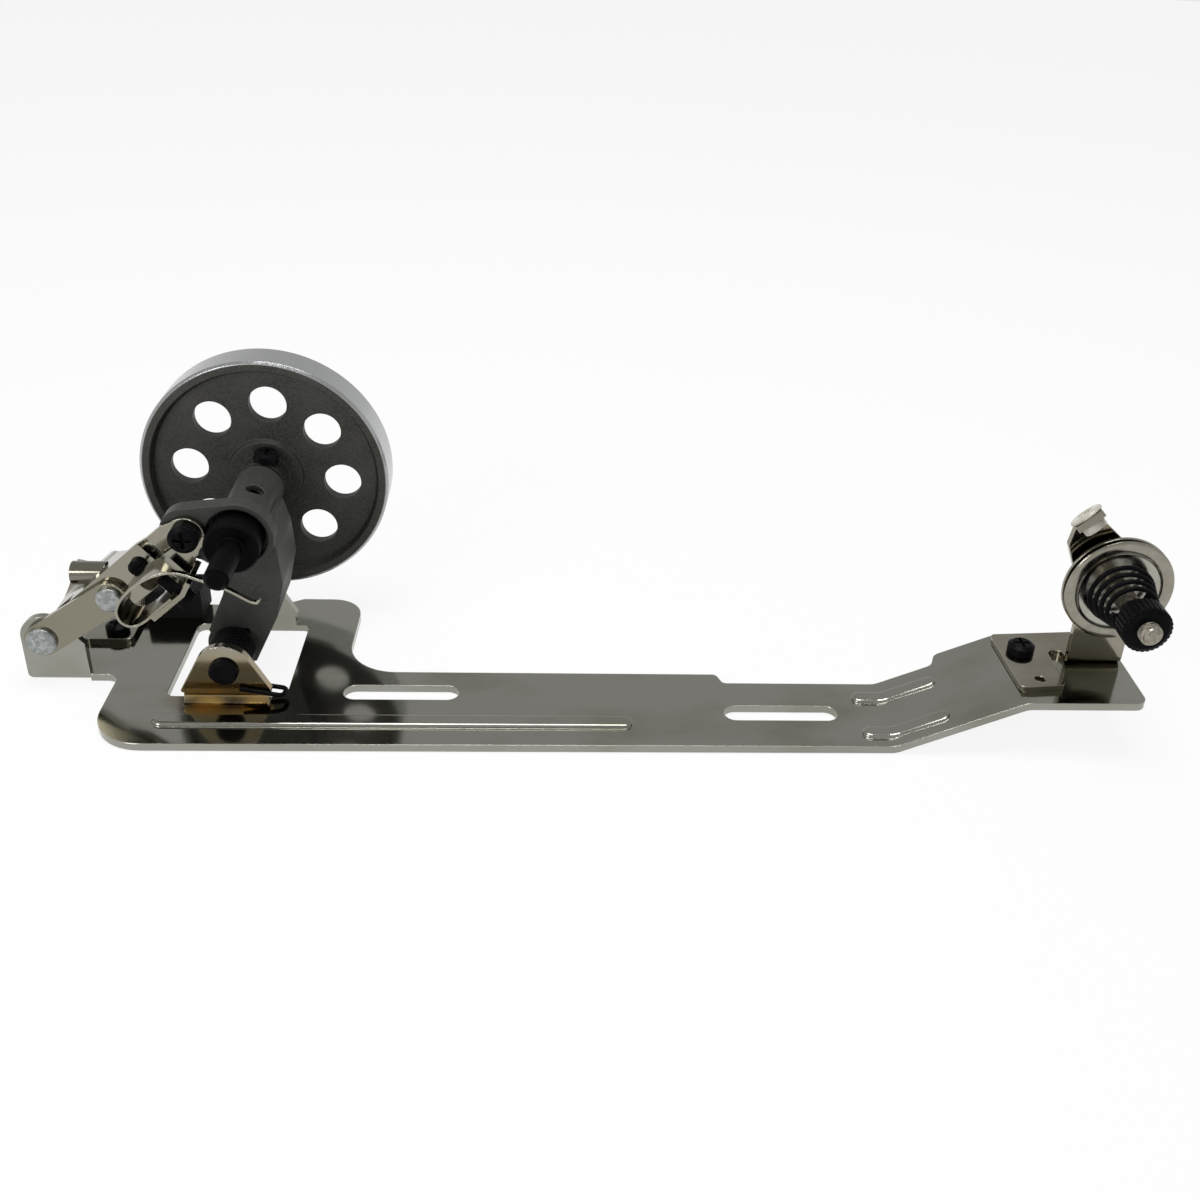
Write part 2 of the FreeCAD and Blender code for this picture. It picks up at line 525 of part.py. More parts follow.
def brake():
    """Brake for the released wheel: foot on the deck, upright tongue, rubber pad pushed over the tongue."""
    body = new_body("brake_bracket")
    left, right = -s.brake_foot_left, -s.brake_foot_right
    foot = sketch_on(body, "XY_Plane", s.plate_gauge)
    rectangle(foot, left, right, s.brake_foot_front, s.brake_foot_rear)
    pad(foot, s.brake_gauge)
    round_edges(body, s.brake_gauge, upright_edge_at([(right, s.brake_foot_front), (left, s.brake_foot_front)]))
    tongue_y = s.pad_front + s.pad_depth / 2 - s.brake_gauge / 2
    tongue_end, tongue_top = right + s.tongue_reach, s.plate_gauge + s.tongue_rise
    tongue = sketch_on(body, "XZ_Plane", -tongue_y)
    rectangle(tongue, right - s.brake_gauge * 2, tongue_end, s.plate_gauge, tongue_top)
    pad(tongue, s.brake_gauge, reverse=True)
    drill(body, "XY_Plane", [(brake_screw_x, brake_screw_y)], s.small_shank / 2)
    screw("brake_screw", brake_screw_x, brake_screw_y, s.plate_gauge + s.brake_gauge, s.brake_screw_head,
          s.brake_screw_rise, s.plate_gauge + s.brake_gauge)
    rubber = new_body("brake_pad")
    pad_left = right + s.disc_gap
    block = sketch_on(rubber, "XY_Plane", s.plate_gauge)
    rectangle(block, pad_left, pad_left + s.pad_length, s.pad_front, s.pad_front + s.pad_depth)
    pad(block, s.pad_height)
    cavity = sketch_on(rubber, "XZ_Plane", -tongue_y)
    rectangle(cavity, pad_left - s.brake_gauge, tongue_end, 0, tongue_top)
    pocket(cavity, s.brake_gauge)
    top = float(s.plate_gauge + s.pad_height)
    round_edges(rubber, s.pad_edge, lambda edge: edge.BoundBox.ZMin > top - 0.01)


def screw(label, x, y, seat, head, head_height, reach):
    """Pan-head screw with its axis upright: domed head on the seat, shank down through the sheet."""
    shank = s.small_shank / 2
    crown = s.screw_crown
    head = as_size(head)
    profile = [(-reach, 0), (-reach, shank), (0, shank), (0, head / 2), (head_height - crown, head / 2),
               (head_height, head / 2 - crown * 1.6), (head_height, 0)]
    stand = Placement(Vector(float(x), float(y), float(seat)), Rotation(Vector(0, 1, 0), -90))
    body = turned(label, profile, stand)
    cross_slots(body, head_height, head)
    return body


def cross_slots(body, head_height, head):
    """Cross recess in the end face of a screw head that is drawn about its own X axis."""
    arm, width, depth = head * 0.32, s.recess_width, s.recess_deep
    for long_way, short_way in ((arm, width / 2), (width / 2, arm)):
        recess = sketch_on(body, "YZ_Plane", head_height)
        rectangle(recess, -long_way, long_way, -short_way, short_way)
        pocket(recess, depth)


def hinge_pin():
    """Pin through both ears, kept by a clip in a groove behind the rear ear."""
    front = front_ear_y - s.pin_front_reach
    rear = rear_ear_y + s.ear_gauge + s.pin_rear_reach
    length = rear - front
    radius = s.pin_diameter / 2
    bevel = s.pin_bevel
    groove = length - s.pin_rear_reach + s.clip_play
    neck = radius - s.clip_neck
    profile = [(0, 0), (0, radius - bevel), (bevel, radius), (groove, radius), (groove, neck),
               (groove + s.clip_gauge, neck), (groove + s.clip_gauge, radius), (length - bevel, radius),
               (length, radius - bevel), (length, 0)]
    turned("hinge_pin", profile, axis_along_y(hinge_x, front, hinge_z))
    clip_y = front + groove
    ring = new_body("hinge_clip", axis_along_y(hinge_x, clip_y, hinge_z))
    face = circle(sketch_on(ring, "YZ_Plane"), 0, 0, s.clip_diameter / 2)
    pad(face, s.clip_gauge)
    drill(ring, "YZ_Plane", [(0, 0)], neck)
    mouth = rectangle(sketch_on(ring, "YZ_Plane"), -neck * 0.8, neck * 0.8, -s.clip_diameter, 0)
    pocket(mouth, both=True)


# ---------------------------------------------------------------- cast swing bracket
def swing_bracket():
    """Die-cast bracket: bearing barrel, recessed face with lever lug, hollow-backed arm and hinge hub."""
    body = new_body("swing_bracket")
    arm_front = s.hub_front
    arm_rear = arm_front + s.arm_depth
    right = spindle_x + s.arm_bulge
    left, heel_z = spindle_x - s.arm_left, hinge_z - s.hub_radius
    inset = s.arm_top_inset
    outline = [(spindle_x - s.recess_radius, spindle_z), (left, spindle_z - s.arm_left_drop),
               (hinge_x - s.hub_radius + inset, hinge_z + s.arm_root_rise), (hinge_x - inset, heel_z),
               (hinge_x + s.arm_toe, heel_z + s.arm_toe_rise), (right - s.arm_low_inset, hinge_z + s.arm_low_rise),
               (right, spindle_z - s.arm_right_drop), (right - inset, spindle_z - s.arm_toe),
               (spindle_x + s.recess_radius, spindle_z + inset)]
    pad(polygon(sketch_on(body, "XZ_Plane", -arm_front), outline), s.arm_depth, reverse=True)
    round_edges(body, s.arm_bend, upright_edge_at([outline[i] for i in (1, 6, 7)], axes=(0, 2)))
    wall = s.arm_wall
    roof_z, floor_z = spindle_z - s.arm_low_rise, hinge_z + s.arm_floor_rise
    hollow = [(left + wall, roof_z), (left + wall, spindle_z - s.arm_left_drop), (left + wall * 0.4, floor_z + inset),
              (hinge_x + s.arm_toe, floor_z - inset * 2), (right - wall - s.arm_low_inset, floor_z + wall * 0.5),
              (right - wall, spindle_z - s.arm_right_drop), (right - wall - inset, roof_z)]
    pocket(polygon(sketch_on(body, "XZ_Plane", -arm_rear), hollow), s.arm_depth - wall, reverse=True)
    # face with the lug for the lever screw
    face_rear = s.face_y + s.face_depth
    ring = s.recess_radius + s.recess_wall
    for x, z, radius in ((spindle_x, spindle_z, ring), (lever_x, lever_z, s.lug_radius)):
        pad(circle(sketch_on(body, "XZ_Plane", -face_rear), x, z, radius), s.face_depth)
    bridge = [(lever_x - inset, lever_z + s.lug_radius * 0.99), (lever_x, lever_z - s.lug_radius),
              (spindle_x, spindle_z - ring), (spindle_x, spindle_z + ring)]
    pad(polygon(sketch_on(body, "XZ_Plane", -face_rear), bridge), s.face_depth)
    # bearing barrel and hinge hub
    barrel_length = s.barrel_end - arm_front
    pad(circle(sketch_on(body, "XZ_Plane", -arm_front), spindle_x, spindle_z, s.barrel_radius), barrel_length,
        reverse=True)
    hub_rear = rear_ear_y - s.side_gap
    pad(circle(sketch_on(body, "XZ_Plane", -arm_front), hinge_x, hinge_z, s.hub_radius), hub_rear - arm_front,
        reverse=True)
    # recess for the collar, bores for the bushes, hinge pin, lever screw, oil and spring end
    recess = circle(sketch_on(body, "XZ_Plane", -s.face_y), spindle_x, spindle_z, s.recess_radius)
    pocket(recess, s.recess_depth)
    drill(body, "XZ_Plane", [(spindle_x, spindle_z)], s.bush_radius)
    drill(body, "XZ_Plane", [(hinge_x, hinge_z)], s.pin_diameter / 2 + s.running_gap)
    drill(body, "XZ_Plane", [(lever_x, lever_z)], s.lever_shank / 2)
    oil = sketch_on(body, "XY_Plane", spindle_z + s.barrel_radius * 1.2)
    circle(oil, spindle_x + s.oil_hole_right, s.oil_hole_y, s.oil_hole / 2)
    pocket(oil, s.barrel_radius)
    spring_hole = circle(sketch_on(body, "XZ_Plane", -arm_front), spring_hole_x, spring_hole_z, s.twist_wire * 0.7)
    pocket(spring_hole, s.arm_wall)
    mark = circle(sketch_on(body, "XZ_Plane", -arm_front), right - s.mark_inset, spindle_z - s.mark_drop,
                  s.mark_radius)
    pocket(mark, s.mark_depth)
    face = float(s.face_y)
    round_edges(body, s.cast_edge, lambda edge: abs(edge.BoundBox.YMin - face) < 0.01
                and edge.BoundBox.YMax < face + 0.01 and edge.Length > float(s.recess_radius) * 2.8)
    return body


def spindle_bushes():
    """Two flanged bronze bushes pressed into the barrel from its ends."""
    bore = shaft_radius + s.running_gap
    profile = [(0, bore), (0, s.bush_flange), (s.bush_flange_gauge, s.bush_flange),
               (s.bush_flange_gauge, s.bush_radius), (s.bush_length, s.bush_radius), (s.bush_length, bore)]
    seat = s.face_y + s.recess_depth - s.bush_flange_gauge
    turned("spindle_bush_front", profile, axis_along_y(spindle_x, seat, spindle_z))
    rear_profile = [(0, bore), (0, s.bush_radius), (s.bush_length, s.bush_radius), (s.bush_length, bore)]
    turned("spindle_bush_rear", rear_profile, axis_along_y(spindle_x, s.barrel_end - s.bush_length, spindle_z))


# ---------------------------------------------------------------- spindle and driving wheel
def spindle():
    """Spindle: a thinner bobbin end with a bevelled tip and a wire groove, a shaft behind it, and the collar."""
    radius = s.spindle_diameter / 2
    tip = -s.spindle_tip_y
    length = s.rim_front_y + s.rim_width - tip
    shoulder = s.collar_front_y - tip
    bevel = s.spindle_bevel
    body = turned("bobbin_spindle", [(0, 0), (0, radius - bevel), (bevel, radius), (shoulder, radius),
                                     (shoulder, shaft_radius), (length, shaft_radius), (length, 0)],
                  axis_along_y(spindle_x, tip, spindle_z))
    groove_length = shoulder - s.groove_end_gap
    groove = sketch_on(body, "XY_Plane")
    rectangle(groove, s.groove_front, groove_length, radius - s.grip_wire - s.groove_extra, radius + 1.0)
    pocket(groove, s.grip_wire + s.running_gap * 2, both=True)
    collar_radius = s.collar_diameter / 2
    rim = s.collar_edge
    turned("spindle_collar", [(0, shaft_radius), (0, collar_radius - rim), (rim, collar_radius),
                              (s.collar_length - rim, collar_radius), (s.collar_length, collar_radius - rim),
                              (s.collar_length, shaft_radius)], axis_along_y(spindle_x, s.collar_front_y, spindle_z))
    grip_wire(radius, groove_length)


def grip_wire(radius, groove_length):
    """Bowed spring wire in the spindle's groove, pressed in as a bobbin's bore holds it."""
    wire = float(s.grip_wire) / 2
    outer = float(radius) - wire
    front, sunk = float(s.groove_front) + wire, outer - float(s.groove_extra) * 0.8
    start, end = Vector(front, sunk, 0), Vector(float(groove_length) - wire, sunk, 0)
    path = Part.Wire(Part.Arc(start, Vector((start.x + end.x) / 2, outer, 0), end).toShape())
    section = Part.Wire(Part.makeCircle(wire * 0.9, start, path.Edges[0].tangentAt(path.Edges[0].FirstParameter)))
    shape = path.makePipeShell([section], True, False)
    new_feature("bobbin_grip_spring", shape, axis_along_y(spindle_x, -s.spindle_tip_y, spindle_z))


def drive_wheel():
    """Belt wheel: flat rim, thin web set back from the rim's edge, boss, hub and a ring of lightening holes."""
    bore = shaft_radius
    rim_inner = s.wheel_radius - s.rim_wall
    rim_root = rim_inner - s.rim_foot
    web_front, web_rear = s.web_set_back, s.web_set_back + s.web_thickness
    boss_front = web_front - s.boss_step
    rear_end = s.rim_width - s.hub_rear_gap
    bevel = s.rim_bevel
    profile = [(-s.wheel_hub_reach, bore), (-s.wheel_hub_reach, s.wheel_hub_radius), (boss_front, s.wheel_hub_radius),
               (boss_front, s.wheel_boss_radius), (web_front, s.wheel_boss_radius + s.boss_slope),
               (web_front, rim_root), (0, rim_inner), (0, s.wheel_radius - bevel), (bevel, s.wheel_radius),
               (s.rim_width - bevel, s.wheel_radius), (s.rim_width, s.wheel_radius - bevel), (s.rim_width, rim_inner),
               (web_rear, rim_root), (web_rear, s.wheel_boss_radius), (rear_end, s.wheel_hub_radius),
               (rear_end, bore)]
    screw_lean = Placement(Vector(0, 0, 0), Rotation(Vector(1, 0, 0), float(s.set_screw_turn)))
    stand = axis_along_y(spindle_x, s.rim_front_y, spindle_z).multiply(screw_lean)
    body = turned("drive_wheel", profile, stand)
    turn = radians(float(s.hole_turn + s.set_screw_turn))
    hole = circle(sketch_on(body, "YZ_Plane"), s.hole_circle * -cos(turn), s.hole_circle * sin(turn), s.hole_radius)
    polar(body, pocket(hole, both=True), s.hole_count)
    screw_place = -s.wheel_hub_reach / 2
    drill(body, "XY_Plane", [(screw_place, 0)], s.set_screw_shank / 2, depth=s.wheel_hub_radius * 1.2, reverse=True)
    shank, head = s.set_screw_shank / 2, s.set_screw_diameter / 2
    reach, top = s.wheel_hub_radius, s.wheel_hub_radius + s.set_screw_head
    upward = Placement(Vector(float(screw_place), 0, 0), Rotation(Vector(0, 1, 0), -90))
    knob = turned("wheel_set_screw", [(shaft_radius, 0), (shaft_radius, shank), (reach, shank), (reach, head),
                                      (top - s.screw_crown, head), (top, head - s.screw_crown), (top, 0)],
                  stand.multiply(upward))
    cross_slots(knob, top, s.set_screw_diameter)


# ---------------------------------------------------------------- wires
def rounded_path(corners, radius):
    """Edges of a path through the corners, each corner rounded by a tangent arc."""
    edges = []
    start = corners[0]
    for before, corner, after in zip(corners, corners[1:], corners[2:]):
        back, ahead = (before - corner), (after - corner)
        half = back.getAngle(ahead) / 2
        cut = min(radius * cos(half) / sin(half), 0.45 * back.Length, 0.45 * ahead.Length)
        back.normalize()
        ahead.normalize()
        middle = back + ahead
        middle.normalize()
        near = cut / cos(half) - cut * sin(half) / cos(half)
        entry, leave = corner + back * cut, corner + ahead * cut
        edges.append(Part.LineSegment(start, entry).toShape())
        edges.append(Part.Arc(entry, corner + middle * near, leave).toShape())
        start = leave
    edges.append(Part.LineSegment(start, corners[-1]).toShape())
    return edges


def wire_along(edges, radius):
    """A round wire along joined edges."""
    path = Part.Wire(edges)
    first = path.OrderedEdges[0]
    start = first.valueAt(first.FirstParameter)
    section = Part.Wire(Part.makeCircle(radius, start, first.tangentAt(first.FirstParameter)))
    return path.makePipeShell([section], True, False)


def torsion_spring():
    """Spring round the hinge pin: one end hooks over the front ear, the other sits in the cast bracket."""
    wire, radius = float(s.twist_wire), float(s.twist_radius)
    x, z = float(hinge_x), float(hinge_z)
    shoulder = Vector(x + float(s.ear_width) / 2 + 2.9, 0, float(s.plate_gauge) + 1.9)
    reach = hypot(shoulder.x - x, shoulder.z - z)
    lean = atan2(shoulder.z - z, shoulder.x - x) - acos(radius / reach)
    run = (reach * reach - radius * radius) ** 0.5
    coil_start, coil_end = float(s.window_front) + 1.7, float(s.hub_front) - 0.9
    turns = 5 + (lean - radians(63) + radians(360)) / radians(360)
    pitch = (coil_end - coil_start) / turns
    drift = run * pitch / (2 * pi * radius)
    touch = Vector(x + radius * cos(lean), coil_start, z + radius * sin(lean))
    front = float(front_ear_y) - wire / 2 - 0.1
    shoulder.y = coil_start - drift
    hook = [Vector(x + 3.5, front, z - 4.7), Vector(shoulder.x - 0.5, front, shoulder.z + 0.3), shoulder, touch]
    coil = Part.makeHelix(pitch, coil_end - coil_start, radius)
    coil.Placement = Placement(Vector(x, coil_start, z), Rotation(Vector(0, 1, 0), -degrees(lean))
                               * Rotation(Vector(1, 0, 0), -90))
    end_x, end_z = twist_end_place()
    coil_tip = Vector(x + radius * cos(radians(63)), coil_end, z + radius * sin(radians(63)))
    tail = [coil_tip, Vector(end_x, coil_end + 0.05, end_z), Vector(end_x, coil_end + 3.4, end_z)]
    edges = rounded_path(hook, wire * 1.1) + coil.Edges + rounded_path(tail, wire * 0.7)
    new_feature("torsion_spring", wire_along(edges, wire / 2))


def cone_spring():
    """Conical spring that presses the tension discs together, its wide end on the front disc."""
    wire = float(s.coil_wire)
    wide, narrow = float(s.coil_big_radius), float(s.coil_small_radius)
    length = float(s.nut_face_y - s.nut_length - s.disc_web_y) - wire
    taper = degrees(atan2(narrow - wide, length))
    path = Part.makeHelix(length / float(s.coil_turns), length, wide, taper)
    shape = wire_along(path.Edges, wire / 2)
    front_face = -s.disc_web_y
    new_feature("tension_spring", shape, Placement(Vector(float(s.stud_x), float(front_face) - wire / 2,
                                                          float(s.stud_height)), Rotation(Vector(1, 0, 0), 90)))


# ---------------------------------------------------------------- toggle
def rivet(label, x, z, head, front, rear):
    """Rivet along Y: dished front head, shank through the sheets, small closing head behind."""
    shank, thick = s.rivet_shank / 2, s.rivet_head
    profile = [(-thick, 0), (-thick, head / 2 - 0.4), (0.4 - thick, head / 2), (0, head / 2), (0, shank),
               (rear - front, shank), (rear - front, head * 0.4), (rear - front + 0.8, head * 0.36),
               (rear - front + 0.8, 0)]
    return turned(label, profile, axis_along_y(x, front, z))


def link():
    """Flat bar from the wing's ear to the knee, and the two rivets."""
    body = new_body("link_bar", link_frame)
    outline = obround(sketch_on(body, "XZ_Plane", -s.link_front_y), 0, link_length, 0, s.link_width / 2)
    pad(outline, s.link_gauge, reverse=True)
    drill(body, "XZ_Plane", [(0, 0)], s.rivet_shank / 2 + s.running_gap)
    drill(body, "XZ_Plane", [(link_length, 0)], s.rivet_shank / 2)
    rivet("link_rivet", link_x, link_z, s.rivet_diameter, s.link_front_y, s.wing_front + s.ear_gauge)
    rivet("knee_rivet", knee_x, knee_z, s.knee_rivet_diameter, s.link_front_y,
          lever_rear_y + 0.2)


def in_lever(x, z):
    """A place in the winder's XZ plane, seen in the lever's own frame."""
    across, up = float(x) - float(lever_x), float(z) - float(lever_z)
    turn = radians(lever_angle)
    return across * cos(turn) + up * sin(turn), up * cos(turn) - across * sin(turn)


def lever():
    """Stamped lever: joggled blade, thumb flange with an upturned end, and the shelf for the latch finger."""
    body = new_body("winding_lever", lever_frame)
    half, gauge, edge = s.lever_width / 2, s.lever_gauge, s.lever_edge
    back_y = lever_rear_y - gauge
    curl = float(s.thumb_radius)
    rear = back_y + s.flange_depth
    # thumb flange: flat strip bent back, its right end slanting, its rear end curled up and trimmed level
    section = sketch_on(body, "YZ_Plane", -s.flange_end - curl)
    curled_strip(section, back_y, rear, edge, gauge, curl)
    pad(section, s.flange_end + curl - s.flange_start)
    turn = radians(lever_angle)
    lip, below = float(edge + s.flange_lip), edge - gauge * 1.7
    thumb_left, thumb_top = link_x + s.thumb_left, link_z + s.thumb_rise
    meet_x = float(lever_x) + (float(thumb_top - lever_z) * cos(turn) - lip) / sin(turn)
    trim(body, "XZ_Plane", [(-s.flange_start, below), (-s.flange_start, lip), in_lever(meet_x, thumb_top),
                            in_lever(thumb_left, thumb_top),
                            in_lever(thumb_left - s.thumb_lean, thumb_top - s.thumb_height), (-s.flange_end, below)])
    clear = sketch_on(body, "XY_Plane")
    rectangle(clear, -s.flange_end - 2 * curl, -s.flange_end, back_y - gauge, s.wing_front + s.ear_gauge + gauge)
    pocket(clear, both=True)
    reach = s.flange_depth + 2 * curl
    slant = float(reach) * sin(radians(float(s.flange_slant))) / cos(radians(float(s.flange_slant)))
    end_cut = sketch_on(body, "XY_Plane")
    polygon(end_cut, [(-s.flange_start, back_y + gauge), (curl, back_y + gauge), (curl, back_y + gauge + reach),
                      (-s.flange_start - slant, back_y + gauge + reach)])
    pocket(end_cut, both=True)
    # rear blade with the knee end, joggle, front blade with the screw end
    knee = -lever_length
    blade = sketch_on(body, "XZ_Plane", -back_y)
    polygon(blade, [(knee, -half), (-s.lever_joggle_end, -half), (-s.lever_joggle_end, edge), (knee, edge),
                    (-s.flange_end, edge), (-s.flange_end, edge - gauge), (knee - half * 0.8, half * 0.6),
                    (knee - half, 0), (knee - half * 0.8, -half * 0.6)])
    pad(blade, gauge, reverse=True)
    fold = 0.4 * gauge
    floor_z = -s.shelf_drop
    joggle = sketch_on(body, "XY_Plane", floor_z)
    polygon(joggle, [(-s.lever_joggle_start, lever_front_y), (-s.lever_joggle_start, lever_front_y + gauge),
                     (-s.lever_joggle_start - fold, lever_front_y + gauge), (-s.lever_joggle_end, back_y + gauge),
                     (-s.lever_joggle_end - gauge, back_y + gauge), (-s.lever_joggle_end - gauge, back_y),
                     (-s.lever_joggle_end + fold, back_y)])
    pad(joggle, edge - floor_z)
    front = sketch_on(body, "XZ_Plane", -lever_front_y)
    inner = -s.lever_joggle_start - 0.3
    nose = s.lever_nose
    polygon(front, [(inner, floor_z), (-s.shelf_start - 3.0, floor_z), (-s.shelf_start, -half), (-1.6, -half),
                    (0, -nose), (0, nose), (-2.4, edge), (inner, edge)])
    pad(front, gauge, reverse=True)
    pad(circle(sketch_on(body, "XZ_Plane", -lever_front_y), 0, 0, nose), gauge, reverse=True)
    # shelf for the finger, bent forward from the lower edge, its end turned up
    cheek = sketch_on(body, "XZ_Plane", -back_y)
    rectangle(cheek, -s.shelf_end - 1.0, -s.lever_joggle_end, floor_z, -half + 1.0)
    pad(cheek, gauge, reverse=True)
    root = sketch_on(body, "XZ_Plane", -lever_front_y)
    rectangle(root, -s.shelf_end - 1.0, -s.lever_joggle_start - 1.0, floor_z, floor_z + s.shelf_gauge)
    pad(root, lever_rear_y - lever_front_y, reverse=True)
    shelf = sketch_on(body, "XZ_Plane", s.shelf_reach - lever_front_y)
    thick = s.shelf_gauge
    turn_x = -s.shelf_start - 3.0
    polygon(shelf, [(-s.shelf_end - 1.0, floor_z), (turn_x, floor_z), (turn_x + 3.4, floor_z + 1.3),
                    (turn_x + 3.0, floor_z + 1.3 + thick), (turn_x - 0.2, floor_z + thick),
                    (-s.shelf_end - 1.0, floor_z + thick)])
    pad(shelf, s.shelf_reach + 0.5, reverse=True)
    drill(body, "XZ_Plane", [(0, 0)], s.lever_shank / 2 + s.running_gap)
    drill(body, "XZ_Plane", [(knee, 0)], s.rivet_shank / 2 + s.knee_slack)
    drill(body, "XY_Plane", [(adjuster_x, adjuster_y)], s.adjuster_diameter / 2, depth=thick * 2,
          offset=floor_z + thick * 1.5)
    drill(body, "XZ_Plane", [(finger_screw_x, finger_screw_z)], s.adjuster_diameter / 2)


def curled_strip(sketch, start, rear, top, gauge, radius):
    """Section of the thumb flange in (Y, Z): flat to the rear, then a quarter turn up."""
    y0, y1, z1, r, g = float(start), float(rear), float(top), radius, float(gauge)
    half_turn = radians(45)
    outer, inner = r + g, r
    centre_z = z1 + r
    points = [Vector(y0, z1 - g, 0), Vector(y1, z1 - g, 0), Vector(y1 + outer, centre_z, 0),
              Vector(y1 + inner, centre_z, 0), Vector(y1, z1, 0), Vector(y0, z1, 0)]
    far_mid = Vector(y1 + outer * sin(half_turn), centre_z - outer * cos(half_turn), 0)
    near_mid = Vector(y1 + inner * sin(half_turn), centre_z - inner * cos(half_turn), 0)
    sketch.addGeometry(Part.LineSegment(points[0], points[1]), False)
    sketch.addGeometry(Part.Arc(points[1], far_mid, points[2]), False)
    sketch.addGeometry(Part.LineSegment(points[2], points[3]), False)
    sketch.addGeometry(Part.Arc(points[3], near_mid, points[4]), False)
    sketch.addGeometry(Part.LineSegment(points[4], points[5]), False)
    sketch.addGeometry(Part.LineSegment(points[5], points[0]), False)
    return sketch


def lever_screws():
    """Pivot screw of the lever, the finger's small screw and the adjusting screw through the shelf."""
    shank = s.lever_shank / 2
    head, thick = s.pan_screw_diameter / 2, s.pan_screw_head
    depth = s.face_y + s.face_depth - lever_front_y
    body = turned("lever_pivot_screw", [(-thick, 0), (-thick, head - 1.0), (0.6 - thick, head), (-0.05, head),
                                        (-0.05, shank), (depth, shank), (depth, 0)],
                  axis_along_y(lever_x, lever_front_y, lever_z))
    for wide, tall in ((2.2, 0.5), (0.5, 2.2)):
        recess = rectangle(sketch_on(body, "YZ_Plane", -thick), -wide, wide, -tall, tall)
        pocket(recess, 1.2, reverse=True)
    radius = s.adjuster_diameter / 2
    place = lever_frame.multiply(Placement(Vector(finger_screw_x, float(lever_rear_y - s.lever_gauge),
                                                  finger_screw_z), Rotation(Vector(0, 0, 1), 90)))
    small = turned("finger_screw", [(-1.8, 0), (-1.8, 1.4), (-1.2, 2.1), (0, 2.1), (0, radius),
                                    (s.lever_gauge + 1.0, radius), (s.lever_gauge + 1.0, 0)], place)
    slot = rectangle(sketch_on(small, "YZ_Plane", -1.8), -3.0, 3.0, -0.35, 0.35)
    pocket(slot, 0.7, reverse=True)
    bottom = -float(s.shelf_drop) - 2.6
    stand = lever_frame.multiply(Placement(Vector(adjuster_x, adjuster_y, bottom), Rotation(Vector(0, 1, 0), -90)))
    turned("finger_adjuster", [(0, 0), (0, radius + 1.0), (1.8, radius + 1.0), (2.6, radius), (8.6, radius), (8.6, 0)],
           stand)


def latch_finger():
    """Spring-steel finger: lower branch on the shelf, open loop, upper branch under the bobbin spindle."""
    gauge = float(s.finger_gauge)
    level = gauge / 2 - float(s.shelf_drop) + float(s.shelf_gauge)
    foot, loop = -float(s.finger_foot), -float(s.finger_loop)
    tip_x, tip_z = in_lever(spindle_x + s.finger_tip_reach, spindle_z - s.finger_tip_drop)
    under_x, under_z = in_lever(spindle_x - s.finger_under, spindle_z - s.finger_drop)
    crest_x, crest_z = in_lever(lever_x, lever_z - s.finger_crest_drop)
    toe = float(s.finger_toe)
    corners = [(foot, level), (loop, level), (-float(s.finger_loop_left), -float(s.finger_loop_low)),
               (-float(s.finger_rise), float(s.finger_rise_up)), (foot, 0.0), (crest_x, crest_z),
               (under_x, under_z), (tip_x, tip_z), (tip_x + toe, tip_z + toe * 0.7)]
    path = Part.Wire(rounded_path([Vector(x, 0, z) for x, z in corners], float(s.finger_bend)))
    rear, front = float(lever_front_y - s.finger_rear_gap), float(lever_front_y - s.shelf_reach)
    low, high = level - gauge / 2, level + gauge / 2
    section = Part.makePolygon([Vector(foot, y, z) for y, z in
                                ((front, low), (rear, low), (rear, high), (front, high), (front, low))])
    strip = path.makePipeShell([section], True, False)
    tongue = front + float(s.finger_width)
    far_left, far_right, far_down = 2 * loop, tip_x + 4 * toe, -BIG
    outline = [(far_left, front), (far_right, front), (far_right, tongue), (crest_x, tongue),
               (foot, rear), (far_left, rear)]
    plan = Part.makePolygon([Vector(x, y, far_down) for x, y in outline + outline[:1]])
    keep = Part.Face(plan).extrude(Vector(0, 0, -2 * far_down))
    hole = Part.makeCylinder(float(s.adjuster_diameter / 2 + s.finger_hole_play), 4 * gauge,
                             Vector(adjuster_x, adjuster_y, level - 2 * gauge))
    new_feature("latch_finger", strip.common(keep).cut(hole), lever_frame)


